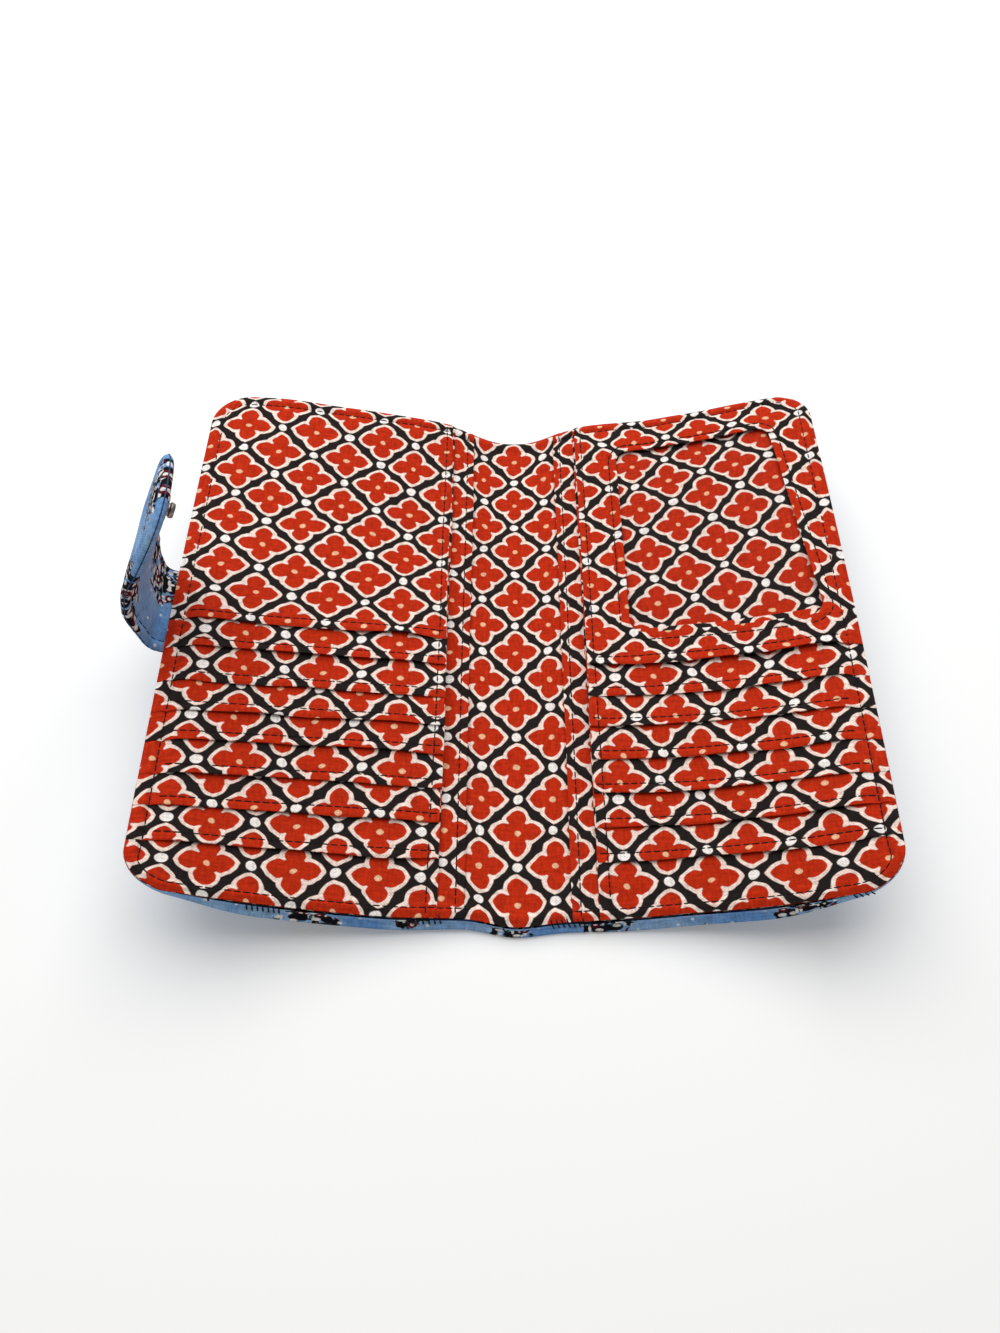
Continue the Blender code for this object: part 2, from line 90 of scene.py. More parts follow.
# The sewn layers aren't quite square: towards the outer edge they lie nearer the viewer's end. Coefficients
# over the way out from the spine and the way along, strongest halfway along.
SKEW_START = 20.0
SKEW = {BACK: ((-3.84, -9.64, 6.76), (-6.34, 7.57, 4.93), (3.99, -5.99, 0.0)),
        FRONT: ((-12.97, 10.14, -2.56), (4.48, -0.39, 6.13), (5.4, 2.33, 0.0))}

# The cover's short edges aren't quite straight: distance out from the spine, and how far the edge moves.
FAR_EDGE_WAVE = ((-116, 0.3), (-90, 1.6), (-70, 0.8), (-48, 1.7), (-27, 3.4), (-14, 1.5), (0, 0.1),
                 (10, 1.0), (20, 2.0), (30, 1.2), (52, -2.8), (73, -2.7), (98, 0.2), (110, 1.7), (116, 1.2))
NEAR_EDGE_WAVE = ((-116, 0.0), (-90, 0.0), (-36, -0.1), (-26, 0.5), (-14, 1.0), (-1, -1.9), (12, 0.0),
                  (30, 0.35), (52, 0.85), (74, 0.2), (116, 0.0))
WAVE_DEPTH = 45.0

# Pockets, counted from the top one: where they open, how high they lie, and how slack their free edges are,
# each gape first at the side towards the spine and then at the opening.
SLIP_EDGE = 16.3
PANEL_EDGE = 24.5
SLIP_TOP = 4.6
PANEL_TOP = 5.5
POCKET_BASE = 5.8
POCKET_PLY = 0.5
POCKET_PITCH = 0.8
POCKET_STEP = 11.6
POCKET_DEPTH = 45.2
LOWEST_POCKET = 7
LARGE_POCKET = 0
LOWEST_EDGE = -81.2
BACK_EDGE_SHIFT = (-1.8, -1.0, -2.2, -1.4, 0.0, 0.0, 0.3, -0.4)
FRONT_EDGE_SHIFT = -0.3
SIDE_STEP = 0.12
TOP_POCKET_EDGE = 25.4
SLIP_GAPE = (1.0, 0.0)
PANEL_GAPE = (1.3, 0.0)
POCKET_GAPE = (0.5, 0.85)
LARGE_POCKET_GAPE = (0.6, 1.1)
FRAME_GAPE = (0.6, 1.0)
FRAME_LIFT = 0.6
SEAM_DENT = 0.16
SEAM_SPREAD = 0.55
EDGE_DENT = 0.45

# Window
UNDER_WINDOW = 3.0
WINDOW_LOW = (40.7, 0.0)
WINDOW_HIGH = (100.5, 81.5)
WINDOW_PULL = (4.0, -4.0)
WINDOW_LEAN = 1.2
WINDOW_CORNER = 5.0
WINDOW_GAPE = 0.55
FILM_LAP = 4.0
FILM_OUTER_LAP = 7.5
FILM_THICK = 0.2
PANEL_SEEN_FROM = -40.0

# Where one flower of each layer's print lies, and how the print runs there: scale across, lean across, lean
# along, scale along.
POCKET_CUT = (0.92, 0.0, 0.0, 1.0)
PRINT_PLACE = {
    "back_slip_pocket": (23.1, -3.8, 1.0, 0.0, 0.0, 1.02),
    "back_card_panel": (67.5, -87.3, *POCKET_CUT),
    "back_card_pocket_7": (68.0, -72.9, *POCKET_CUT),
    "back_card_pocket_6": (81.3, -67.9, *POCKET_CUT),
    "back_card_pocket_5": (62.5, -52.5, *POCKET_CUT),
    "back_card_pocket_4": (66.1, -37.0, *POCKET_CUT),
    "back_card_pocket_3": (78.0, -25.4, *POCKET_CUT),
    "back_card_pocket_2": (65.2, -18.8, *POCKET_CUT),
    "back_card_pocket_1": (66.2, -5.2, *POCKET_CUT),
    "back_large_pocket": (27.7, 83.7, 0.937, 0.016, 0.0, 1.087),
    "front_slip_pocket": (26.9, 22.4, 1.0, 0.0, 0.0, 1.03),
    "front_card_panel": (58.3, -88.6, 0.91, 0.0, 0.0, 1.0),
    "behind_window": (34.8, 64.1, 0.946, 0.0715, -0.0832, 1.105),
    "front_card_pocket_7": (70.5, -79.1, *POCKET_CUT),
    "front_card_pocket_6": (70.1, -59.9, *POCKET_CUT),
    "front_card_pocket_5": (58.3, -54.2, *POCKET_CUT),
    "front_card_pocket_4": (60.1, -45.0, *POCKET_CUT),
    "front_card_pocket_3": (77.9, -31.4, *POCKET_CUT),
    "front_card_pocket_2": (72.0, -16.0, *POCKET_CUT),
    "front_window_frame": (38.0, 54.2, 0.95, 0.06, 0.0, 1.06),
}
LINING_PHASE = (0.0, 1.3)
OUTER_PHASE = (3.0, 5.0)

# Thread: how far inside an edge each seam runs, its pitch, and one stitch as rings of place, radius and lift.
HEM_STITCH = 3.0
SIDE_STITCH = 3.3
SLIP_STITCH = 2.6
EDGE_STITCH = 4.4
NEAR_STITCH = 2.9
WINDOW_STITCH = 3.0
TAB_STITCH = 3.2
RIM_STITCH = 0.02
STITCH_PITCH = 2.7
RIM_PITCH = 1.9
STITCH_LENGTH = 2.35
STITCH_REACH = 0.4
STITCH_LIFT = 0.06
THREAD = 0.42
CAPSULE = ((-0.5, 0.2, -0.55), (-0.43, 0.75, -0.25), (-0.26, 1.0, 0.05), (0.0, 1.0, 0.18), (0.26, 1.0, 0.05),
           (0.43, 0.75, -0.25), (0.5, 0.2, -0.55))
SIDES = 6

# Hand stitches over the near edge: the middle of each group and how many it has.
WHIPS = {BACK: ((75.5, 7), (28.8, 7)), FRONT: ((14.5, 7), (99.5, 4))}
WHIP_PITCH = 1.6
WHIP_LEAN = 1.1
WHIP_STRETCH = 1.1
WHIP_UP = np.array((0.0, -0.5, 0.87))

# Tab: its middle line as x and z, past the fold at the cover's edge, and its twist in degrees along it.
TAB_MIDDLE_Y = -2.7
TAB_LINE = ((-117.2, 36.7), (-117.8, 44.6), (-117.1, 50.6), (-115.9, 56.6), (-113.6, 63.3), (-110.2, 69.8),
            (-107.1, 75.6), (-104.5, 80.5), (-101.9, 85.2), (-98.3, 91.4))
TAB_TWIST = ((0.0, 0.0), (10.0, 1.0), (20.0, 7.0), (30.0, 4.0), (40.0, -0.5), (67.0, -3.0))
TAB_HALF_WIDTH = 16.5
TAB_HALF_THICK = 1.7
TAB_EDGE_ROUND = 2.6
TAB_TIP_ROUND = 15.0
TAB_TIP_POWER = 2.3
TAB_SPLIT = 14.0
TAB_HELD = 9.0
TAB_SEWN_IN = (106.0, 110.5)
ROOT_OUT = 115.0

# Folds of the tab, as its joints have them: where it leaves the cover, and where it turns over.
ROOT_FOLD = np.array((-113.996, 29.494))
END_FOLD = np.array((-116.563, 56.155))
ROOT_WAY = np.array((-0.0958, 0.9954))
END_WAY = np.array((0.4617, 0.8870))
SNAP_FROM_FOLD = 26.8
SNAP_SEAT = 1.72
SNAP_FLAT = (5.2, 10.0)

# Where the tab's sprigs lie: the strap's s, and the t and s that the print's own middle has there.
TAB_SPRIG = ((0.0, -20.0, 26.0), (11.0, -20.0, 26.0), (26.0, -15.0, 30.0), (38.0, -15.0, 30.0),
             (57.0, 0.0, 20.0), (70.0, 0.0, 20.0))

# Foulard print, from its repeat: 23.1 mm across, 22.7 mm along, every second column half a repeat on.
REPEAT = (23.1, 22.7)
PETAL = (3.15, 2.95)
PETAL_AT = (4.35, 4.9)
PETAL_POINT = (0.085, 0.08)
PETAL_JOIN = 0.4
HEART = 3.9
HEART_JOIN = 0.5
OUTLINE = 1.3
CENTRE_AT = (0.0, -0.4, 0.0)
CENTRE_DOT = 0.95
GROUND_DOT = 1.55
PRINT_BLEED = 0.14
PRINT_DRIFT = 2.7
DRIFTS_PER_MM = 0.13

# Sprigs of the outer print: period across and along, how far each column drops, their radius and ragged edge.
# Each ink has its spacing, its place, its stretch, its radius and its colour.
SPRIG_PERIOD = (29.0, 42.0)
SPRIG_DROP = 18.0
SPRIG_RADIUS = 8.6
SPRIG_SQUASH = 0.62
SPRIG_RAGGED = 11.0
RAGS_PER_MM = 0.22
FADES_PER_MM = 0.07
GROUND_SPOTS = (9.0, 17.0, (1.0, 1.0))
GROUND_SPOT = 0.5
SPRIG_INKS = ((4.2, 3.0, (0.7, 1.5), 2.1, "#17161B"), (4.6, 37.0, (1.5, 0.7), 1.5, "#17161B"),
              (4.4, 51.0, (0.75, 1.6), 0.9, "#F4EFEA"), (3.9, 83.0, (1.7, 0.8), 0.75, "#F4EFEA"),
              (6.4, 29.0, (1.0, 1.0), 1.5, "#64121F"), (6.4, 29.0, (1.0, 1.0), 0.6, "#F4EFEA"),
              (6.4, 71.0, (1.4, 0.8), 0.7, "#2C6E74"))

# Plain weave: its pitch, and how its yarn swells along warp and weft.
WEAVE_PITCH = 0.95
WEAVE_DEPTH = 0.1
YARN_DEPTH = 0.5
YARNS = ((0.28, 1.15, 1.0), (1.15, 0.28, 1.0))

# Grid lines near a hem, a rolled edge, a covered cut edge and the window, in from each.
HEM_LINES = (0.0, 0.08, 0.25, 0.55, 1.1, 1.8, 2.4, 2.8, 3.1, 3.5, 4.1, 5.0, 6.5, 8.5, 11.0)
ROLL_LINES = (0.0, 0.06, 0.2, 0.45, 0.8, 1.2, 1.7, 2.3, 3.0, 3.6, 4.1, 4.5, 4.9, 5.6, 7.0, 9.0)
CUT_LINES = (0.0, 0.1, 0.4, 1.2)
STRAP_LINES = (0.0, 0.08, 0.3, 0.7, 1.2, 1.8, 2.4, 2.9, 3.3, 3.9, 5.0)
OPENING_LINES = HEM_LINES[:12]
FRAME_EDGE_LINES = (6.5,) + ROLL_LINES[13::-1]
SIDE_STEPS = 44
CLOTH_STEP = 2.2
SEAM_ANGLE = math.radians(55.0)

# Camera, lamp and floor
CAMERA_PLACE = (-5.38, -218.37, 317.5)
CAMERA_TILT = 33.94
CAMERA_LENS = 29.7
LAMP_PLACE = (-60.0, 370.0, 750.0)
LAMP_AIM = (0.0, 0.0, 10.0)
LAMP_SIZE = 1150.0
LAMP_POWER = 9.4
ROOM_LIGHT = 0.23
FLOOR_GLOW = 0.17
FLOOR_HALF = 3000.0


def smooth(t):
    """0 to 1 with a soft start and end."""
    t = np.clip(t, 0.0, 1.0)
    return t * t * (3.0 - 2.0 * t)


def ramp(value, start, over):
    """0 up to start, and 1 after a soft rise over the next stretch."""
    return smooth((value - start) / over)


def hump(value, middle, spread):
    """A soft bump that is 1 at its middle."""
    return np.exp(-((value - middle) / spread) ** 2)


def bulge(t):
    """A quarter circle: 0 at the edge, 1 from t = 1 on."""
    t = np.clip(t, 0.0, 1.0)
    return np.sqrt(1.0 - (1.0 - t) ** 2)


def folded(t):
    """Share of a ply's thickness: a thin fold at its edge, all of it from t = 1 on."""
    return 0.12 + 0.88 * bulge(t)


def pressed(d):
    """Share of a stack's height: the layers are pressed together towards the edge seam."""
    return 0.32 + 0.68 * smooth(d / 10.0)


def unit(vectors):
    """Vectors at length 1."""
    return vectors / np.linalg.norm(vectors, axis=-1, keepdims=True)


def square_to(ups, ways):
    """Unit vectors at right angles to ways, as near to ups as can be."""
    share = np.einsum("ij,ij->i", ups, ways) / np.einsum("ij,ij->i", ways, ways)
    return unit(ups - ways * share[:, None])


def between(table, rows, columns, s, t):
    """Value of a table between two rows and two columns, s and t of the way on."""
    low = table[rows[0], columns[0]] * (1 - s) + table[rows[1], columns[0]] * s
    high = table[rows[0], columns[1]] * (1 - s) + table[rows[1], columns[1]] * s
    return low * (1 - t) + high * t


def ripple(a, y, size, seed):
    """Smooth random heights between -1 and 1, with bumps about size mm across."""
    cells = 64
    lattice = np.random.default_rng(seed).uniform(-1.0, 1.0, (cells, cells))
    u = np.asarray(a, float) / size + cells / 2
    v = np.asarray(y, float) / size + cells / 2
    i = np.floor(u).astype(int)
    j = np.floor(v).astype(int)
    return between(lattice, (i % cells, (i + 1) % cells), (j % cells, (j + 1) % cells),
                   smooth(u - i), smooth(v - j))


OUT = np.linspace(0.0, 130.0, 521)
ALONG = np.linspace(-110.0, 110.0, 45)


def rise_tables(near_slope):
    """A lining's profile: x and height for each distance from the spine, in columns along the cover."""
    share = (ALONG + HALF_LENGTH) / (2 * HALF_LENGTH)
    first, last = (near + (far - near) * share for near, far in zip(near_slope, FAR_SLOPE))
    slope = first[None, :] + (last - first)[None, :] * OUT[:, None] / WIDTH
    slope = np.radians(slope * smooth(OUT / SPINE_ROUND)[:, None])
    tables = []
    for part in (np.cos(slope), np.sin(slope)):
        steps = (part[1:] + part[:-1]) * (OUT[1] - OUT[0]) / 2
        tables.append(np.concatenate([np.zeros((1, len(ALONG))), np.cumsum(steps, axis=0)]))
    return tables


PROFILE = {which: rise_tables(NEAR_SLOPE[which]) for which in (BACK, FRONT)}


def read_profile(table, a, y):
    """Value of a profile table at a, y. Below a = 0 it goes on as the spine's flat middle."""
    u = np.clip(a, 0.0, OUT[-1] - 0.01) / (OUT[1] - OUT[0])
    v = np.clip((y - ALONG[0]) / (ALONG[1] - ALONG[0]), 0.0, len(ALONG) - 1.01)
    i = np.floor(u).astype(int)
    j = np.floor(v).astype(int)
    return between(table, (i, i + 1), (j, j + 1), u - i, v - j)


def wave_table(knots):
    """A softened curve through the knots, one value per millimetre from -120 to 120."""
    at = np.arange(-140.0, 141.0)
    kernel = hump(np.arange(-12, 13), 0.0, 4.5)
    return np.convolve(np.interp(at, *zip(*knots)), kernel / kernel.sum(), mode="same")[20:-20]


EDGE_WAVE = {1: wave_table(FAR_EDGE_WAVE), -1: wave_table(NEAR_EDGE_WAVE)}
WAVE_AT = np.arange(-120.0, 121.0)


def edge_wave(side, a, y):
    """How far the cloth moves along y, towards the cover's uneven short edges."""
    start = HALF_LENGTH - WAVE_DEPTH
    far, near = (np.interp(side * a, WAVE_AT, EDGE_WAVE[end]) * ramp(end * y, start, WAVE_DEPTH)
                 for end in (1, -1))
    return far + near


def skew(side, a, y):
    """How far the sewn layers lie off square at a, y."""
    out = np.clip((a - SKEW_START) / (WIDTH - SKEW_START), 0.0, 1.1)
    along = np.clip(y / HALF_LENGTH, -1.0, 1.0)
    total = 0.0
    for power, terms in enumerate(SKEW[side]):
        total = total + along ** power * (terms[0] + terms[1] * out + terms[2] * out ** 2)
    return total * out * (1.0 - along ** 2)


def lining_place(side, a, y):
    """Point of the smooth lining surface at a, y."""
    moved = y + edge_wave(side, a, y) + skew(side, a, y)
    x = read_profile(PROFILE[side][0], a, moved) + np.minimum(a, 0.0)
    z = read_profile(PROFILE[side][1], a, moved) + CORE
    return np.stack([side * x, moved, z], axis=-1)


def cover_up(side, a, y):
    """Upward normal of the lining surface at a, y."""
    step = 0.5
    out = unit(lining_place(side, a + step, y) - lining_place(side, a - step, y))
    along = unit(lining_place(side, a, y + step) - lining_place(side, a, y - step))
    return unit(side * np.cross(out, along))


def cover_points(side, a, y, w):
    """World points in mm of a cover, w mm above its outer face. Nothing reaches under the floor."""
    points = lining_place(side, a, y) + cover_up(side, a, y) * (np.asarray(w) - CORE)[..., None]
    points[..., 2] = np.maximum(points[..., 2], 0.05 + 0.02 * np.asarray(w))
    return points


def corner_radius(y):
    """Radius of the outline's corners at the end where y is."""
    return np.where(y < 0.0, NEAR_CORNER, FAR_CORNER)


def inset(side, a, y, grow=0.0):
    """Distance in from the cover's rounded outline."""
    radius = corner_radius(y)
    reach_a = a - (REACH[side] - radius)
    reach_y = np.abs(y) - (HALF_LENGTH - radius)
    outside = np.hypot(np.maximum(reach_a, 0.0), np.maximum(reach_y, 0.0))
    return radius + grow - (outside + np.minimum(np.maximum(reach_a, reach_y), 0.0))


def row_reach(side, y, grow):
    """How far out the cover's outline is at y."""
    radius = corner_radius(y)
    over = np.clip(np.abs(y) - (HALF_LENGTH - radius), 0.0, radius + grow)
    return REACH[side] - radius + np.sqrt(np.maximum((radius + grow) ** 2 - over ** 2, 0.0))


def to_outline(side, a, y, grow=0.0):
    """Draws the outer part of each row in to the rounded outline."""
    fixed = 78.0
    share = np.clip((a - fixed) / (REACH[side] + grow - fixed), 0.0, 1.0)
    return np.where(a > fixed, fixed + share * (row_reach(side, y, grow) - fixed), a)


def stitch_inset(y):
    """How far inside the outline the edge stitching runs: nearer to it at the near end."""
    return EDGE_STITCH + (NEAR_STITCH - EDGE_STITCH) * ramp(-y, 84.0, 9.0)


def lining_top(side, a, y):
    """Height of the lining's face: soft padding that puffs up and then rolls down to the edge seam."""
    d = inset(side, a, y)
    soft = sum(height * ripple(side * a, y, size, seed) for height, size, seed in LINING_SWELLS)
    full = CORE + soft * smooth(d / SWELL_START) + EDGE_PUFF * hump(d, PUFF_AT, PUFF_SPREAD)
    seam = EDGE_SEAM + SEAM_LIFT
    return seam + (full - seam) * bulge(d / LINING_ROLL)


def linear(value):
    """sRGB hex to linear colour."""
    parts = [int(value[i:i + 2], 16) / 255 for i in (1, 3, 5)]
    return tuple(p / 12.92 if p <= 0.04045 else ((p + 0.055) / 1.055) ** 2.4 for p in parts) + (1.0,)


def add(tree, kind, inputs=None, **settings):
    """Adds a node, sets it, and sets or links its inputs; a node stands for its first output."""
    node = tree.nodes.new("ShaderNode" + kind)
    for name, value in settings.items():
        setattr(node, name, value)
    for name, value in (inputs or {}).items():
        if isinstance(value, bpy.types.Node):
            value = value.outputs[0]
        if isinstance(value, bpy.types.NodeSocket):
            tree.links.new(value, node.inputs[name])
        else:
            node.inputs[name].default_value = value
    return node


def new_material(name):
    """An empty material and its node tree."""
    material = bpy.data.materials.new(name)
    material.use_nodes = True
    material.node_tree.nodes.clear()
    return material, material.node_tree


def weave_height(tree, cloth):
    """Height of a plain weave with uneven yarn, drawn at twice the real pitch so that it shows."""
    turns = 2 * math.pi / WEAVE_PITCH
    swell = add(tree, "VectorMath", {0: cloth, 1: (turns, turns, turns)}, operation="MULTIPLY")
    parts = add(tree, "SeparateXYZ", {0: swell})
    warp, weft = (add(tree, "Math", {0: parts.outputs[axis]}, operation="SINE") for axis in "XY")
    height = add(tree, "Math", {0: warp, 1: weft}, operation="MULTIPLY")
    height = add(tree, "Math", {0: height, 1: WEAVE_DEPTH}, operation="MULTIPLY")
    for yarn in YARNS:
        drawn = add(tree, "VectorMath", {0: cloth, 1: yarn}, operation="MULTIPLY")
        slub = add(tree, "TexNoise", {"Vector": drawn, "Scale": 1.0, "Detail": 2.0})
        height = add(tree, "Math", {0: slub, 1: YARN_DEPTH, 2: height}, operation="MULTIPLY_ADD")
    return height


def printed(tree, distance, reach, under, ink):
    """Lays ink over the colour under it wherever distance is less than reach, with a slightly bled edge."""
    mask = add(tree, "MapRange",
               {"Value": distance, "From Min": reach + PRINT_BLEED, "From Max": reach - PRINT_BLEED})
    return add(tree, "Mix", {0: mask, 6: under, 7: linear(ink)}, data_type="RGBA").outputs[2]


def cotton_surface(tree, cloth, colour):
    """Finishes a cotton: dry dyed yarn, no gloss, and painted shade: lighter on top of each thread, darker
    between.
    """
    height = weave_height(tree, cloth)
    # Painted light and shade of the weave: the colour is made lighter on the threads' tops and darker in the
    # hollows between them.
    shade = add(tree, "MapRange",
                {"Value": height, "From Min": 0.32, "From Max": 0.68, "To Min": 0.7, "To Max": 1.28})
    weave_shaded = add(tree, "VectorMath", {0: colour, 3: shade}, operation="SCALE")
    bump = add(tree, "Bump", {"Height": height, "Strength": 0.6, "Distance": 0.00018})
    surface = add(tree, "BsdfPrincipled",
                  {"Base Color": weave_shaded, "Roughness": 0.92, "Specular IOR Level": 0.08, "Normal": bump})
    add(tree, "OutputMaterial", {"Surface": surface})


def cell_place(tree, place, shift):
    """Place within one cell of a repeat, from the cell's middle, with the cells moved by shift."""
    moved = add(tree, "VectorMath", {0: place, 1: (shift, shift, 0.0)}, operation="ADD")
    part = add(tree, "VectorMath", {0: moved}, operation="FRACTION")
    return add(tree, "VectorMath", {0: part, 1: (0.5, 0.5, 0.0)}, operation="SUBTRACT")


def quatrefoil(tree, cell):
    """Distance in mm past a four-petal flower's edge, the place in its quarter, and distance from its dot."""
    scaled = add(tree, "VectorMath", {0: cell, 1: (*REPEAT, 0.0)}, operation="MULTIPLY")
    quarter = add(tree, "VectorMath", {0: scaled}, operation="ABSOLUTE")
    petals = []
    for axis, centre in enumerate(((PETAL_AT[0], 0.0, 0.0), (0.0, PETAL_AT[1], 0.0))):
        from_petal = add(tree, "VectorMath", {0: quarter, 1: centre}, operation="SUBTRACT")
        round_part = add(tree, "VectorMath", {0: from_petal}, operation="LENGTH").outputs["Value"]
        parts = add(tree, "SeparateXYZ", {0: from_petal})
        tipward = add(tree, "Math", {0: parts.outputs[axis], 1: 0.0}, operation="MAXIMUM")
        pinch = add(tree, "Math", {0: tipward, 1: parts.outputs[1 - axis]}, operation="MULTIPLY")
        pointed = add(tree, "Math", {0: pinch, 1: PETAL_POINT[axis], 2: round_part}, operation="MULTIPLY_ADD")
        petals.append(add(tree, "Math", {0: pointed, 1: PETAL[axis]}, operation="SUBTRACT"))
    nearest = add(tree, "Math", {0: petals[0], 1: petals[1], 2: PETAL_JOIN}, operation="SMOOTH_MIN")
    middle = add(tree, "VectorMath", {0: quarter}, operation="LENGTH").outputs["Value"]
    heart = add(tree, "Math", {0: middle, 1: HEART}, operation="SUBTRACT")
    flower = add(tree, "Math", {0: nearest, 1: heart, 2: HEART_JOIN}, operation="SMOOTH_MIN")
    dot = add(tree, "VectorMath", {0: scaled, 1: CENTRE_AT}, operation="DISTANCE").outputs["Value"]
    return flower, quarter, dot


def lining_cotton():
    """Plain-weave quilting cotton with a screen-printed foulard: a flat, dry face and crisp flowers."""
    material, tree = new_material("screen_printed_lining_cotton")
    cloth = add(tree, "UVMap", uv_map="cloth")
    drift = add(tree, "TexNoise", {"Vector": cloth, "Scale": DRIFTS_PER_MM, "Detail": 2.0}).outputs["Color"]
    centred = add(tree, "VectorMath", {0: drift, 1: (0.5, 0.5, 0.5)}, operation="SUBTRACT")
    wandered = add(tree, "VectorMath", {0: centred, 1: (PRINT_DRIFT, PRINT_DRIFT, 0.0), 2: cloth},
                   operation="MULTIPLY_ADD")
    periods = add(tree, "VectorMath", {0: wandered, 1: (1 / REPEAT[0], 1 / REPEAT[1], 0.0)},
                  operation="MULTIPLY")
    first, second = (quatrefoil(tree, cell_place(tree, periods, shift)) for shift in (0.5, 0.0))
    flower, centre_dot = (add(tree, "Math", {0: first[n], 1: second[n]}, operation="MINIMUM") for n in (0, 2))
    dots = [add(tree, "VectorMath", {0: first[1], 1: place}, operation="DISTANCE").outputs["Value"]
            for place in ((REPEAT[0] / 2, 0.0, 0.0), (0.0, REPEAT[1] / 2, 0.0))]
    ground_dot = add(tree, "Math", {0: dots[0], 1: dots[1]}, operation="MINIMUM")
    colour = linear("#262120")
    for distance, reach, ink in ((ground_dot, GROUND_DOT, "#FBF3EE"), (flower, OUTLINE, "#FCE3D6"),
                                 (flower, 0.0, "#C22F12"), (centre_dot, CENTRE_DOT, "#F3BC93")):
        colour = printed(tree, distance, reach, colour, ink)
    cotton_surface(tree, cloth, colour)
    return material


def spots(tree, cloth, spacing, offset, stretch):
    """Distance in mm from scattered spots, drawn out across or along the cloth by stretch."""
    scale = (stretch[0] / spacing, stretch[1] / spacing, 1.0)
    placed = add(tree, "VectorMath", {0: cloth, 1: scale, 2: (offset, offset * 0.7, 0.0)},
                 operation="MULTIPLY_ADD")
    scatter = add(tree, "TexVoronoi", {"Vector": placed, "Scale": 1.0, "Randomness": 0.8},
                  voronoi_dimensions="2D")
    return add(tree, "Math", {0: scatter, 1: spacing}, operation="MULTIPLY")


def turned_place(tree, place, rows):
    """A place turned and scaled in the cloth's plane by two rows of a matrix."""
    x, y = (add(tree, "VectorMath", {0: place, 1: (*row, 0.0)}, operation="DOT_PRODUCT").outputs["Value"]
            for row in rows)
    return add(tree, "CombineXYZ", {"X": x, "Y": y})


def sprig_distance(tree, cloth):
    """Distance in mm past the ragged edge of the nearest sprig, on a lattice whose columns drop."""
    wide, tall = SPRIG_PERIOD
    place = turned_place(tree, cloth, ((1 / wide, 0.0), (SPRIG_DROP / (wide * tall), 1 / tall)))
    away = turned_place(tree, cell_place(tree, place, 0.5), ((wide, 0.0), (-SPRIG_DROP, tall)))
    round_part = add(tree, "VectorMath", {0: away, 1: (1.0, SPRIG_SQUASH, 0.0)}, operation="MULTIPLY")
    length = add(tree, "VectorMath", {0: round_part}, operation="LENGTH").outputs["Value"]
    ragged = add(tree, "TexNoise", {"Vector": cloth, "Scale": RAGS_PER_MM, "Detail": 2.0})
    moved = add(tree, "Math", {0: ragged, 1: SPRIG_RAGGED, 2: length}, operation="MULTIPLY_ADD")
    return add(tree, "Math", {0: moved, 1: SPRIG_RADIUS + SPRIG_RAGGED / 2}, operation="SUBTRACT")


def outer_cotton():
    """Light blue quilting cotton with sprigs of leaf strokes and berries, and white dots between them."""
    material, tree = new_material("sprig_print_outer_cotton")
    cloth = add(tree, "UVMap", uv_map="cloth")
    sprig = sprig_distance(tree, cloth)
    fade = add(tree, "TexNoise", {"Vector": cloth, "Scale": FADES_PER_MM, "Detail": 2.0})
    faded = add(tree, "MapRange", {"Value": fade, "From Min": 0.36, "From Max": 0.62})
    ground = add(tree, "Mix", {0: faded, 6: linear("#6E9FDA"), 7: linear("#98BCE2")}, data_type="RGBA")
    colour = printed(tree, spots(tree, cloth, *GROUND_SPOTS), GROUND_SPOT, ground.outputs[2], "#E9F0F5")
    for spacing, offset, stretch, radius, ink in SPRIG_INKS:
        away = add(tree, "Math", {0: spots(tree, cloth, spacing, offset, stretch), 1: radius},
                   operation="SUBTRACT")
        inside = add(tree, "Math", {0: away, 1: sprig}, operation="MAXIMUM")
        colour = printed(tree, inside, 0.0, colour, ink)
    cotton_surface(tree, cloth, colour)
    return material


def thread_material(name, colours):
    """Spun polyester thread: a soft, slightly waxed shine over its twist."""
    material, tree = new_material(name)
    place = add(tree, "TexCoord").outputs["Object"]
    twist = add(tree, "TexNoise", {"Vector": place, "Scale": 900.0, "Detail": 2.0})
    tone = add(tree, "Mix", {0: twist, 6: linear(colours[0]), 7: linear(colours[1])}, data_type="RGBA")
    bump = add(tree, "Bump", {"Height": twist, "Strength": 0.4, "Distance": 0.0001})
    surface = add(tree, "BsdfPrincipled", {"Base Color": tone.outputs[2], "Roughness": 0.7,
                                           "Specular IOR Level": 0.15, "Normal": bump})
    add(tree, "OutputMaterial", {"Surface": surface})
    return material


def nickel_material():
    """Antique nickel plating over a pressed snap: dull metal, darker where the patina stays."""
    material, tree = new_material("antique_nickel_plate")
    place = add(tree, "TexCoord").outputs["Object"]
    patina = add(tree, "TexNoise", {"Vector": place, "Scale": 700.0, "Detail": 4.0})
    tone = add(tree, "Mix", {0: patina, 6: linear("#6E6A66"), 7: linear("#B9B4AC")}, data_type="RGBA")
    matt = add(tree, "MapRange", {"Value": patina, "To Min": 0.42, "To Max": 0.24})
    surface = add(tree, "BsdfPrincipled", {"Base Color": tone.outputs[2], "Metallic": 1.0, "Roughness": matt})
    add(tree, "OutputMaterial", {"Surface": surface})
    return material


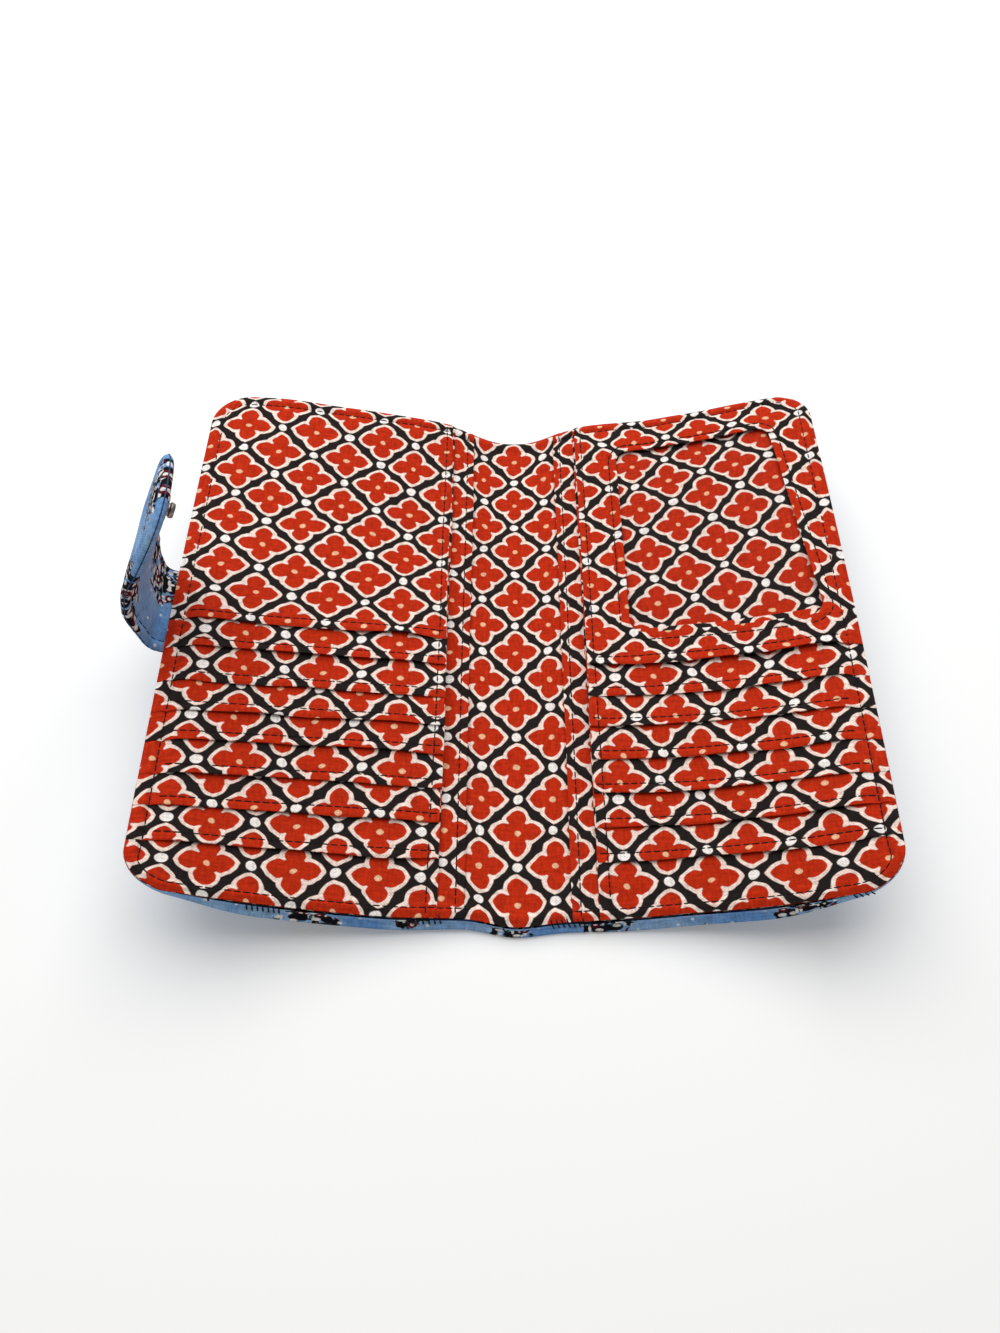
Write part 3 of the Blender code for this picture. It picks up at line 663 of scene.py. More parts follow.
def vinyl_material():
    """Clear soft vinyl: nearly invisible, with a faint haze and a wet-looking glint where it waves."""
    material, tree = new_material("clear_soft_vinyl")
    place = add(tree, "TexCoord").outputs["Object"]
    waves = add(tree, "TexNoise", {"Vector": place, "Scale": 45.0, "Detail": 1.0})
    bump = add(tree, "Bump", {"Height": waves, "Strength": 0.25, "Distance": 0.001})
    through = add(tree, "BsdfTransparent", {"Color": linear("#FDFDFD")})
    face = add(tree, "BsdfGlossy", {"Color": linear("#F4F6F8"), "Roughness": 0.12, "Normal": bump})
    glint = add(tree, "Fresnel", {"IOR": 1.04, "Normal": bump})
    surface = add(tree, "MixShader", {0: glint, 1: through, 2: face})
    add(tree, "OutputMaterial", {"Surface": surface})
    return material


def new_piece(name, points, faces, material):
    """A smooth-shaded mesh, from points in mm."""
    mesh = bpy.data.meshes.new(name)
    mesh.from_pydata((points * MM).tolist(), [], faces)
    mesh.polygons.foreach_set("use_smooth", np.ones(len(faces), bool))
    mesh.materials.append(material)
    mesh.update()
    piece = bpy.data.objects.new(name, mesh)
    bpy.context.scene.collection.objects.link(piece)
    return piece


def grid_faces(rows, columns, closed):
    """Quads of a grid of points; closed joins the last column to the first."""
    faces = []
    for i in range(rows - 1):
        for j in range(columns if closed else columns - 1):
            k = (j + 1) % columns
            faces.append((i * columns + j, i * columns + k, (i + 1) * columns + k, (i + 1) * columns + j))
    return faces


def border(rows, columns, closed):
    """Point numbers round the edges of a grid, as closed loops."""
    first = list(range(columns))
    last = [(rows - 1) * columns + j for j in range(columns)]
    if closed:
        return [first, last[::-1]]
    right = [i * columns + columns - 1 for i in range(1, rows - 1)]
    left = [i * columns for i in range(rows - 2, 0, -1)]
    return [first + right + last[::-1] + left]


def signed_volume(points, faces):
    """Positive when a closed body's faces look outwards."""
    quads = points[np.array(faces)]
    first = np.einsum("ij,ij->i", quads[:, 0], np.cross(quads[:, 1], quads[:, 2]))
    second = np.einsum("ij,ij->i", quads[:, 0], np.cross(quads[:, 2], quads[:, 3]))
    return float((first + second).sum())


def shell(name, upper, lower, cloth, material, slot, closed=False):
    """A closed thin body between two grids of points, with its cloth coordinates in mm."""
    rows, columns = upper.shape[:2]
    count = rows * columns
    points = np.concatenate([upper.reshape(-1, 3), lower.reshape(-1, 3)])
    top = grid_faces(rows, columns, closed)
    faces = top + [tuple(count + n for n in reversed(face)) for face in top]
    for loop in border(rows, columns, closed):
        faces += [(q, p, count + p, count + q) for p, q in zip(loop, loop[1:] + loop[:1])]
    piece = new_piece(name, points, faces, material)
    mesh = piece.data
    corner = np.zeros(len(mesh.loops), np.int32)
    mesh.loops.foreach_get("vertex_index", corner)
    flat = np.concatenate([cloth.reshape(-1, 2)] * 2)
    mesh.uv_layers.new(name="cloth").data.foreach_set("uv", flat[corner].astype(np.float32).ravel())
    mesh.set_sharp_from_angle(angle=SEAM_ANGLE)
    if signed_volume(points, faces) < 0:
        mesh.flip_normals()
    return piece


def sewn_on(name, side, faces, cloth, look, slot, replaced, closed=False):
    """A shell that rides on its cover and stands for one of its layers."""
    piece = shell(name, *faces, cloth, look, slot, closed)
    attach(piece, COVER_BODY[side])
    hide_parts(replaced)


def lines(start, end, fine_start, fine_end, step):
    """Grid lines from start to end: close together at the ends, then step apart."""
    low = [start + f for f in fine_start]
    high = [end - f for f in reversed(fine_end)]
    count = max(1, round((high[0] - low[-1]) / step))
    return np.array(low + list(np.linspace(low[-1], high[0], count + 1)[1:-1]) + high)


def cloth_map(side, a, y, phase):
    """Cloth coordinates in mm, with the print moved by phase."""
    return np.stack([side * a + phase[0], y + phase[1]], axis=-1)


def print_map(side, a, y, name):
    """Cloth coordinates in mm of a pocket layer, from where one flower lies and how the cloth was cut."""
    flower_a, flower_y, scale_a, lean_a, lean_y, scale_y = PRINT_PLACE[name]
    out, along = a - flower_a, y - flower_y
    return np.stack([side * (out * scale_a + lean_a * along), along * scale_y + lean_y * out], axis=-1)


class Ply:
    """One sewn layer on a cover: its limits, its height, and how its free edges gape and waver."""

    def __init__(self, side, low, high, height, gape, wander, seed):
        self.side, self.low, self.high, self.height = side, low, high, height
        self.gape, self.wander, self.seed = gape, wander, seed

    def top(self, a, y):
        """Height of the ply's face over the cover's outer face."""
        d = inset(self.side, a, y)
        from_a, from_y = a - self.low[0], y - self.low[1]
        full = lining_top(self.side, a, y) + (self.height(a, y) - CORE) * pressed(d)
        held = ramp(from_a, 3.0, 9.0) * ramp(REACH[self.side] - a, 5.0, 12.0)
        slack = 0.55 + 0.45 * ripple(a, self.seed, 17.0, self.seed)
        full = full + self.gape[1] * slack * held * hump(np.maximum(from_y, 0.0), 0.0, 3.6)
        held = ramp(HALF_LENGTH - np.abs(y), 4.0, 10.0)
        slack = 0.55 + 0.45 * ripple(self.seed, y, 21.0, self.seed + 1)
        full = full + self.gape[0] * slack * held * hump(np.maximum(from_a, 0.0), 0.0, 4.0)
        if self.gape[1]:
            full = full - SEAM_DENT * hump(from_y, HEM_STITCH, SEAM_SPREAD)
        full = full - SEAM_DENT * hump(from_a, SIDE_STITCH, SEAM_SPREAD)
        return full - EDGE_DENT * hump(d, stitch_inset(y), 0.7)

    def waver(self, a, y):
        """y with the small waves of the ply's opening."""
        back = np.clip(1.0 - (y - self.low[1]) / 10.0, 0.0, 1.0)
        return y + self.wander * ripple(a, self.seed, 14.0, self.seed + 2) * back

    def grid(self):
        """The ply's a and y on a grid that is fine at its edges."""
        near = HEM_LINES if self.gape[1] else ROLL_LINES
        far = ROLL_LINES if self.high[1] >= HALF_LENGTH else CUT_LINES
        a, y = np.meshgrid(lines(self.low[0], self.high[0], HEM_LINES, ROLL_LINES, CLOTH_STEP),
                           lines(self.low[1], self.high[1], near, far, CLOTH_STEP))
        a = to_outline(self.side, a, y)
        if self.gape[1]:
            y = self.waver(a, y)
        back = np.clip(1.0 - (a - self.low[0]) / 6.0, 0.0, 1.0)
        return a + 0.6 * self.wander * ripple(self.seed, y, 16.0, self.seed + 3) * back, y

    def free(self, a, y):
        """Distance in from the ply's free edges."""
        return np.minimum(a - self.low[0], y - self.low[1])

    def faces(self, a, y, free, top):
        """Upper and lower points; the ply thins to a fold at its free edges and in the cover's seam."""
        d = inset(self.side, a, y)
        half = POCKET_PLY / 2 * (0.45 + 0.55 * smooth(d / 6.0))
        share = folded(np.minimum(np.maximum(free + 0.02, 0.0), d + 0.02) / 0.32)
        return [cover_points(self.side, a, y, top - half * (1 + way * share)) for way in (-1, 1)]


def pocket_edge(pocket, side=FRONT):
    """Where a pocket opens: the lowest is number 7, the large top one number 0."""
    shift = BACK_EDGE_SHIFT[pocket] if side == BACK else FRONT_EDGE_SHIFT
    return LOWEST_EDGE + POCKET_STEP * (LOWEST_POCKET - pocket) + shift


def pocket_height(pocket, lift=0.0):
    """Height function of a pocket's face, which the pockets under it raise step by step."""
    def height(a, y):
        steps = np.clip((pocket_edge(pocket) + POCKET_DEPTH - y) / POCKET_STEP, 0.0, LOWEST_POCKET - pocket)
        return POCKET_BASE + POCKET_PLY + POCKET_PITCH * steps + lift
    return height


def flat_height(value):
    """A height function that is the same everywhere."""
    return lambda a, y: np.full(np.shape(a), value)


def make_plies():
    """Every pocket layer of both covers, from the bottom up."""
    plies = {}
    for side in (BACK, FRONT):
        name = SIDE_NAME[side]
        seed = 100 + 50 * (side + 1)
        corner = (REACH[side], HALF_LENGTH)
        plies[name + "_slip_pocket"] = Ply(side, (SLIP_EDGE, -HALF_LENGTH), corner, flat_height(SLIP_TOP),
                                           SLIP_GAPE, 0.35, seed)
        plies[name + "_card_panel"] = Ply(side, (PANEL_EDGE, -HALF_LENGTH), corner, flat_height(PANEL_TOP),
                                          PANEL_GAPE, 0.35, seed + 5)
        for pocket in range(LOWEST_POCKET, 0 if side == BACK else 1, -1):
            edge = pocket_edge(pocket, side)
            end = edge + POCKET_DEPTH if side == BACK else min(edge + POCKET_DEPTH, UNDER_WINDOW)
            low = (PANEL_EDGE + SIDE_STEP * (LOWEST_POCKET - pocket), edge)
            plies[f"{name}_card_pocket_{pocket}"] = Ply(side, low, (REACH[side], end), pocket_height(pocket),
                                                        POCKET_GAPE, 0.5, seed + 7 * pocket)
    plies["back_large_pocket"] = Ply(BACK, (TOP_POCKET_EDGE, pocket_edge(LARGE_POCKET, BACK)),
                                     (REACH[BACK], HALF_LENGTH), pocket_height(LARGE_POCKET),
                                     LARGE_POCKET_GAPE, 0.6, 211)
    plies["front_window_frame"] = Ply(FRONT, (TOP_POCKET_EDGE, pocket_edge(1)), (REACH[FRONT], HALF_LENGTH),
                                      pocket_height(1, FRAME_LIFT), FRAME_GAPE, 0.6, 223)
    return plies


def build_ply(name, ply, look):
    """The cloth of one pocket layer. Of the front panel, another part shows behind the window."""
    a, y = ply.grid()
    cloth = print_map(ply.side, a, y, name)
    if name == "front_card_panel":
        seen = (y > PANEL_SEEN_FROM)[..., None]
        cloth = np.where(seen, print_map(ply.side, a, y, "behind_window"), cloth)
    faces = ply.faces(a, y, ply.free(a, y), ply.top(a, y))
    sewn_on(name + "_cloth", ply.side, faces, cloth, look, "pocket_cotton", name)


def round_corners(points, low, high, radius):
    """Pulls points of a rectangle in to its rounded corners."""
    core = np.clip(points, np.array(low) + radius, np.array(high) - radius)
    away = points - core
    length = np.linalg.norm(away, axis=1, keepdims=True)
    return core + away / np.maximum(length, 1e-9) * radius


def pull_window(points):
    """Draws the window's outer side out at the near end and in at the far end, as it is sewn."""
    low, high = np.array(WINDOW_LOW), np.array(WINDOW_HIGH)
    out, far = ((points - low) / (high - low)).T
    moved = points.copy()
    moved[:, 0] += out * (WINDOW_PULL[0] + (WINDOW_PULL[1] - WINDOW_PULL[0]) * far)
    moved[:, 1] += WINDOW_LEAN * (0.5 - out)
    return moved


def window_rings(ply):
    """Points round the window's opening and, opposite them, round the frame's outline."""
    rings = []
    share = np.arange(SIDE_STEPS)[None, :, None] / SIDE_STEPS
    for low, high in ((WINDOW_LOW, WINDOW_HIGH), (ply.low, ply.high)):
        corners = np.array([low, (high[0], low[1]), high, (low[0], high[1])])
        ways = np.roll(corners, -1, axis=0) - corners
        rings.append((corners[:, None, :] + ways[:, None, :] * share).reshape(-1, 2))
    inner = round_corners(rings[0], WINDOW_LOW, WINDOW_HIGH, WINDOW_CORNER)
    return pull_window(inner), rings[1]


def build_window_frame(ply, look):
    """The top pocket of the front cover, with its rounded window."""
    inner, outer = window_rings(ply)
    wide = np.linalg.norm(outer - inner, axis=1)[:, None]
    shares = np.concatenate([np.array(OPENING_LINES) / wide, 1.0 - np.array(FRAME_EDGE_LINES) / wide], axis=1)
    points = inner[:, None, :] + (outer - inner)[:, None, :] * shares[..., None]
    a = to_outline(ply.side, points[..., 0], points[..., 1])
    y = ply.waver(a, points[..., 1])
    from_opening = shares * wide
    slack = 0.5 + 0.4 * ripple(a, y, 18.0, 41)
    top = ply.top(a, y) + WINDOW_GAPE * slack * hump(from_opening, 0.0, 3.0)
    top = top - 0.18 * hump(from_opening, WINDOW_STITCH, SEAM_SPREAD)
    faces = ply.faces(a, y, np.minimum(ply.free(a, y), from_opening), top)
    grids = [grid.transpose(1, 0, 2) for grid in (*faces, print_map(ply.side, a, y, "front_window_frame"))]
    sewn_on("front_window_frame_cloth", ply.side, grids[:2], grids[2], look, "pocket_cotton",
            "front_window_frame", closed=True)


def build_film(look):
    """The clear sheet behind the window, a little wavy."""
    a, y = np.meshgrid(np.linspace(WINDOW_LOW[0] - FILM_LAP, WINDOW_HIGH[0] + FILM_OUTER_LAP, 34),
                       np.linspace(WINDOW_LOW[1] - FILM_LAP, WINDOW_HIGH[1] + FILM_LAP, 40))
    under = lining_top(FRONT, a, y) + (POCKET_BASE - CORE) * pressed(inset(FRONT, a, y))
    under = under + 0.05 + 0.12 * ripple(a, y, 26.0, 57)
    faces = [cover_points(FRONT, a, y, under + thick) for thick in (FILM_THICK, 0.0)]
    sewn_on("front_window_film_sheet", FRONT, faces, cloth_map(FRONT, a, y, (0.0, 0.0)), look, "clear_vinyl",
            "front_window_film")


def half_grid(side, grow):
    """a and y of one half of the open wallet, from the middle of the spine to the outline."""
    a = lines(0.0, REACH[side] + grow, (0.0,), ROLL_LINES, 1.7)
    half = lines(0.0, HALF_LENGTH + grow, (0.0,), ROLL_LINES, 1.9)
    a, y = np.meshgrid(a, np.concatenate([-half[:0:-1], half]))
    return to_outline(side, a, y, grow), y


def bend_at_crease(piece):
    """Bakes the piece's world placement into its mesh."""
    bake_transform(piece)


def build_lining(side, look):
    """The printed lining over the padding, from the middle of the spine to the edge seam."""
    a, y = half_grid(side, 0.0)
    top = lining_top(side, a, y)
    thick = LINING_PLY * folded((inset(side, a, y) + 0.02) / 0.4)
    faces = [cover_points(side, a, y, w) for w in (top, top - thick)]
    piece = shell(SIDE_NAME[side] + "_lining_cloth", *faces, cloth_map(side, a, y, LINING_PHASE), look,
                  "lining_cotton")
    bend_at_crease(piece)
    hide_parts(SIDE_NAME[side] + "_lining", "spine_lining")


def near_lip(side, a, y, d):
    """The outer cloth's y and height, with the lip and the sag of the near edge; d is the inset."""
    from_edge = REACH[side] - a
    turned = SEAM_LIP + (NEAR_LIP - SEAM_LIP) * smooth(d / LIP_TURN)
    sag = NEAR_SAG * ramp(-y, 66.0, 30.0) * ramp(from_edge, 2.0, 30.0) * ramp(a, 14.0, 20.0)
    moved = y - turned * ramp(-y, 88.0, 11.0) * ramp(from_edge, 1.0, 40.0)
    return moved, EDGE_SEAM - (EDGE_SEAM + sag) * bulge(d / OUTER_ROLL)


def build_outer(side, look):
    """The padded outside of a cover: blue cotton turned up to the seam all round."""
    a, y = half_grid(side, OUTER_LIP)
    d = inset(side, a, y, OUTER_LIP)
    turned_up = TURNED_CLOTH * (1.0 - bulge(d / OUTER_ROLL))
    cloth_a = a + turned_up * ramp(a, REACH[side] - 8.0, 6.0)
    cloth_y = y + turned_up * np.sign(y) * ramp(np.abs(y), HALF_LENGTH - 8.0, 6.0)
    y, outer = near_lip(side, a, y, d)
    outer = outer + OUTER_SWELL * ripple(side * a, y, 16.0, 71) * smooth(d / 14.0) * ramp(a, 12.0, 10.0)
    thick = OUTER_PLY * (0.35 + 0.65 * bulge((d + 0.02) / 0.8))
    faces = [cover_points(side, a, y, w) for w in (outer + thick, outer)]
    name = SIDE_NAME[side]
    piece = shell(name + "_outer_cloth", *faces, cloth_map(side, cloth_a, cloth_y, OUTER_PHASE), look,
                  "outer_cotton")
    bend_at_crease(piece)
    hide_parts(name + "_exterior", name + "_batting", "spine_exterior", "spine_batting")


def path_length(points):
    """Distance along a row of points, at each of them."""
    return np.concatenate([[0.0], np.cumsum(np.linalg.norm(np.diff(points, axis=0), axis=1))])


def along_line(s, length, points):
    """Points at the distances s along a row of points."""
    return np.stack([np.interp(s, length, points[:, i]) for i in (0, 1)], axis=-1)


def lofted_line(points, count=600):
    """A smooth curve through the points, evenly spaced."""
    p = np.array(points, float)
    p = np.vstack([2 * p[0] - p[1], p, 2 * p[-1] - p[-2]])
    t = np.linspace(0.0, 1.0, 60, endpoint=False)[:, None]
    parts = [0.5 * (2 * b + (c - a) * t + (2 * a - 5 * b + 4 * c - d) * t ** 2
                    + (3 * b - a - 3 * c + d) * t ** 3)
             for a, b, c, d in zip(p, p[1:], p[2:], p[3:])]
    curve = np.vstack(parts + [p[-2:-1]])
    length = path_length(curve)
    even = np.linspace(0.0, length[-1], count)
    return even, along_line(even, length, curve)


def tab_table():
    """Arc length from the root fold, and the middle line's x and z."""
    inside = cover_points(BACK, np.array(TAB_SEWN_IN), np.full(2, TAB_MIDDLE_Y), np.full(2, 1.9))[:, [0, 2]]
    length, line = lofted_line([*inside, ROOT_FOLD, *TAB_LINE])
    return length - length[np.argmin(np.linalg.norm(line - ROOT_FOLD, axis=1))], line


TAB_S, TAB_XZ = tab_table()
TAB_START, TAB_TIP = float(TAB_S[0]), float(TAB_S[-1])
TIP_START = TAB_TIP - TAB_TIP_ROUND


def tab_frame(s):
    """Middle, width direction and inner normal of the strap at s, twisted as it goes along."""
    middle = along_line(s, TAB_S, TAB_XZ)
    way = unit(along_line(s + 0.6, TAB_S, TAB_XZ) - along_line(s - 0.6, TAB_S, TAB_XZ))
    inner = np.stack([way[..., 1], np.zeros_like(s), -way[..., 0]], axis=-1)
    across = np.array([0.0, 1.0, 0.0])
    turn = np.radians(np.interp(s, *zip(*TAB_TWIST)))[..., None]
    place = np.stack([middle[..., 0], np.full_like(s, TAB_MIDDLE_Y), middle[..., 1]], axis=-1)
    return place, np.cos(turn) * across + np.sin(turn) * inner, np.cos(turn) * inner - np.sin(turn) * across


def tab_depth(s, t):
    """Distance in from the strap's edges and round tip."""
    past = np.clip((s - TIP_START) / TAB_TIP_ROUND, 0.0, 1.0)
    rho = (np.abs(t / TAB_HALF_WIDTH) ** TAB_TIP_POWER + past ** TAB_TIP_POWER) ** (1 / TAB_TIP_POWER)
    return (1.0 - rho) * TAB_HALF_WIDTH


def seat_for_snap(points):
    """Presses the cloth flat under the snap's flange."""
    way = np.array([END_WAY[0], 0.0, END_WAY[1]])
    normal = np.array([END_WAY[1], 0.0, -END_WAY[0]])
    fold = np.array([END_FOLD[0], TAB_MIDDLE_Y, END_FOLD[1]])
    away = points - (fold + way * SNAP_FROM_FOLD + normal * SNAP_SEAT)
    height = away @ normal
    radius = np.linalg.norm(away - height[..., None] * normal, axis=-1)
    flat = 1.0 - ramp(radius, SNAP_FLAT[0], SNAP_FLAT[1] - SNAP_FLAT[0])
    return points - normal * (height * flat)[..., None]


def tab_points(s, t, face_side):
    """World points of the strap's inner (+1) or outer (-1) face, or of its middle (0)."""
    place, width, face = tab_frame(s)
    d = tab_depth(s, t)
    half = TAB_HALF_THICK * (0.06 + 0.94 * bulge(d / TAB_EDGE_ROUND))
    half = half + 0.25 * smooth(d / 9.0) + 0.12 * ripple(s * face_side, t, 9.0, 91) * smooth(d / 4.0)
    half = half - 0.7 * hump(d, TAB_STITCH, 0.8)
    points = place + width * t[..., None] + face * (face_side * half)[..., None]
    out = ROOT_OUT + np.minimum(s, TAB_HELD)
    along = TAB_MIDDLE_Y + t - skew(BACK, out, TAB_MIDDLE_Y + t)
    held = cover_points(BACK, out, along, CORE / 2 + face_side * half)
    points = held + (points - held) * smooth(s / TAB_HELD)[..., None]
    return seat_for_snap(points) if face_side > 0 else points


def strap_grid(start, end):
    """s and t of a stretch of the strap; rows near the tip follow its round end."""
    across = lines(0.0, TAB_HALF_WIDTH, (0.0,), STRAP_LINES, 1.3)
    across = np.concatenate([-across[:0:-1], across]) / TAB_HALF_WIDTH
    if end >= TAB_TIP:
        tip = TIP_START + TAB_TIP_ROUND * np.sin(np.linspace(0.0, math.pi / 2, 26)) * 0.9998
        s = np.concatenate([np.arange(start, tip[0] - 0.4, 1.2), tip])
    else:
        s = np.linspace(start, end, round(end - start) + 1)
    past = np.clip((s - TIP_START) / TAB_TIP_ROUND, 0.0, 1.0)
    wide = TAB_HALF_WIDTH * (1.0 - past ** TAB_TIP_POWER) ** (1 / TAB_TIP_POWER)
    t, s = np.meshgrid(across, s)
    return s, t * wide[:, None]


def build_strap(name, start, end, replaced, look):
    """One stretch of the padded tab."""
    s, t = strap_grid(start, end)
    knots, middle_t, middle_s = zip(*TAB_SPRIG)
    cloth = np.stack([t - np.interp(s, knots, middle_t), s - np.interp(s, knots, middle_s)], axis=-1)
    piece = shell(name, tab_points(s, t, 1), tab_points(s, t, -1), cloth, look, "outer_cotton")
    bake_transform(piece)
    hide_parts(*replaced)


def stitch_mesh(name, rows, material):
    """Stitches as one mesh of rounded bars that dip into the cloth, from their centres, ways and ups."""
    centres, ways, ups = (np.concatenate([row[i] for row in rows]) for i in range(3))
    bar = np.array([(x * STITCH_LENGTH, math.cos(g) * r * THREAD / 2, (math.sin(g) * r + lift) * THREAD / 2)
                    for x, r, lift in CAPSULE for g in np.arange(SIDES) * 2 * math.pi / SIDES])
    points = centres[:, None, :]
    for i, way in enumerate((ways, np.cross(ups, ways), ups)):
        points = points + bar[None, :, i, None] * way[:, None, :]
    rings = len(CAPSULE)
    faces = [face[::-1] for face in grid_faces(rings, SIDES, True)]
    faces += [tuple(range(SIDES)), tuple(range((rings - 1) * SIDES, rings * SIDES))[::-1]]
    whole = [tuple(v + n * rings * SIDES for v in face) for n in range(len(centres)) for face in faces]
    return new_piece(name, points.reshape(-1, 3), whole, material)


def seam(path, pitch, place, upward):
    """Centres, ways and ups of a seam's stitches: place gives world points, upward their normals."""
    path = np.array(path, float)
    length = path_length(path)
    at = np.arange(pitch / 2, length[-1] - pitch / 3, pitch)
    middle, before, after = (along_line(s, length, path) for s in (at, at - STITCH_REACH, at + STITCH_REACH))
    ways = unit(place(*after.T) - place(*before.T))
    ups = square_to(upward(*middle.T), ways)
    return place(*middle.T), ways, ups


def edge_path(side):
    """The stitched line inside a cover's three outer edges, from the near end of the spine to the far end."""
    path = []
    for radius, end in ((NEAR_CORNER, -1), (FAR_CORNER, 1)):
        corner = []
        out, along = REACH[side] - radius, HALF_LENGTH - radius
        for g in np.linspace(0.0, math.pi / 2, 12):
            r = radius - stitch_inset(end * (along + radius * math.sin(g)))
            corner.append((out + r * math.cos(g), end * (along + r * math.sin(g))))
        corner.append((SPINE_ROUND, corner[-1][1]))
        path += corner[::end]
    return path


def window_path():
    """The stitched line round the window."""
    low = np.array(WINDOW_LOW) + WINDOW_CORNER
    high = np.array(WINDOW_HIGH) - WINDOW_CORNER
    r = WINDOW_CORNER + WINDOW_STITCH
    path = []
    for a, y, start in ((high[0], low[1], -90), (high[0], high[1], 0),
                        (low[0], high[1], 90), (low[0], low[1], 180)):
        for g in np.radians(start + np.linspace(0.0, 90.0, 8)):
            path.append((a + r * math.cos(g), y + r * math.sin(g)))
    return pull_window(np.array(path + path[:1]))


def stack_top(plies, side, a, y):
    """Height of whatever layer is uppermost."""
    top = lining_top(side, a, y)
    for ply in plies.values():
        if ply.side == side:
            inside = (a >= ply.low[0]) & (y >= ply.low[1]) & (y <= ply.high[1])
            top = np.where(inside, np.maximum(top, ply.top(a, y)), top)
    return top


def cover_stitches(side, plies, look):
    """The topstitching of one cover."""
    def on_top(a, y):
        return stack_top(plies, side, a, y)

    name = SIDE_NAME[side]
    end = REACH[side] - EDGE_STITCH - 0.6
    paths = [([(ply.low[0] + 0.8, ply.low[1] + HEM_STITCH), (end, ply.low[1] + HEM_STITCH)], ply.top)
             for ply in plies.values() if ply.side == side and ply.gape[1]]
    ends = HALF_LENGTH - 1.2
    for a, top in ((SLIP_EDGE + SLIP_STITCH, plies[name + "_slip_pocket"].top),
                   (PANEL_EDGE + SIDE_STITCH, on_top)):
        paths.append(([(a, -ends), (a, ends)], top))
    paths.append((edge_path(side), on_top))
    if side == FRONT:
        paths.append((window_path(), plies["front_window_frame"].top))
    rows = [seam(path, STITCH_PITCH, lambda a, y: cover_points(side, a, y, top(a, y) + STITCH_LIFT),
                 lambda a, y: cover_up(side, a, y)) for path, top in paths]
    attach(stitch_mesh(name + "_pocket_stitches", rows, look), COVER_BODY[side])


def whip_stitches(side, look):
    """Short groups of slanting hand stitches over the near edge, where the cover was closed."""
    at = np.concatenate([middle + (np.arange(count) - (count - 1) / 2) * WHIP_PITCH
                         for middle, count in WHIPS[side]])
    at = at + 0.3 * ripple(at, side, 5.0, 311)
    edge = np.full(len(at), -HALF_LENGTH)
    knots = [cover_points(side, at, edge + 1.0, lining_top(side, at, edge + 1.0) + 0.2)]
    for depth, lean, out, lift in ((0.0, 0.5, 0.0, 0.3), (0.35, 1.0, 0.1, 0.0)):
        lip, low = near_lip(side, at, edge + depth, np.full(len(at), depth))
        knots.append(cover_points(side, at + side * WHIP_LEAN * lean, lip - out, low + lift))
    rows = []
    for start, stop in zip(knots, knots[1:]):
        ways = (stop - start) / STITCH_LENGTH * WHIP_STRETCH
        rows.append(((start + stop) / 2, ways, square_to(np.tile(WHIP_UP, (len(at), 1)), ways)))
    bend_at_crease(stitch_mesh(SIDE_NAME[side] + "_whip_stitches", rows, look))


def strap_paths(start, end, depth):
    """Lines along a stretch of the strap, depth mm in from its edges and its round tip."""
    reach = TAB_HALF_WIDTH - depth
    if end < TAB_TIP:
        return [[(start, reach), (end, reach)], [(start, -reach), (end, -reach)]]
    power = 2 / TAB_TIP_POWER
    tip = [(TIP_START + (TAB_TIP_ROUND - depth) * math.sin(x) ** power, reach * math.cos(x) ** power)
           for x in np.linspace(0.0, math.pi / 2, 40)]
    return [[(start, reach)] + tip + [(s, -t) for s, t in reversed(tip[:-1])] + [(start, -reach)]]


def strap_row(path, face_side, pitch):
    """Stitches on a face of the strap, or on its rim where face_side is 0."""
    def upward(s, t):
        if face_side:
            return tab_frame(s)[2] * face_side
        core = np.minimum(s, TIP_START)
        return tab_points(s, t, 0) - tab_points(core + 0.8 * (s - core), t * 0.8, 0)

    centres, ways, ups = seam(path, pitch, lambda s, t: tab_points(s, t, face_side), upward)
    return centres + ups * STITCH_LIFT, ways, ups


def strap_stitches(name, start, end, look):
    """The topstitching of one stretch of the tab on both faces, and the close seam along its rim, whose dark
    thread also paints the shade in that seam.
    """
    rows = [strap_row(path, face_side, STITCH_PITCH)
            for path in strap_paths(start, end, TAB_STITCH) for face_side in (1, -1)]
    # The rim's close seam is partly a real seam and partly painted shade: dark thread laid on the rim where
    # the strap's two faces meet.
    rows += [strap_row(path, 0, RIM_PITCH) for path in strap_paths(start, end, RIM_STITCH)]
    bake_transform(stitch_mesh(name, rows, look))


def fold_span(fold, way, before, after):
    """Start and end points of a span across a tab fold."""
    ends = (fold - way * before, fold + way * after)
    return [(p[0] * MM, TAB_MIDDLE_Y * MM, p[1] * MM) for p in ends]


def build_tab(cloth, thread):
    """The tab and its stitches, in one stretch for each of its folds."""
    stretches = (
        ("tab_root", TAB_START, 0.5, TAB_SPLIT, ("back_cover", "tab_root"),
         fold_span(ROOT_FOLD, ROOT_WAY, 1.0, 9.0),
         ("tab_root_exterior", "tab_root_padding", "tab_root_lining")),
        ("tab_end", TAB_SPLIT, TAB_SPLIT, TAB_TIP, ("tab_root", "tab_end"),
         fold_span(END_FOLD, (END_WAY + ROOT_WAY) / 2, 9.0, 9.0),
         ("tab_end_exterior", "tab_end_padding", "tab_end_lining", "stud_backing")))
    for name, start, _, end, bodies, bend, replaced in stretches:
        build_strap(name + "_strap", start, end, replaced, cloth)
    for name, _, start, end, bodies, bend, _ in stretches:
        strap_stitches(name + "_stitches", start, end, thread)


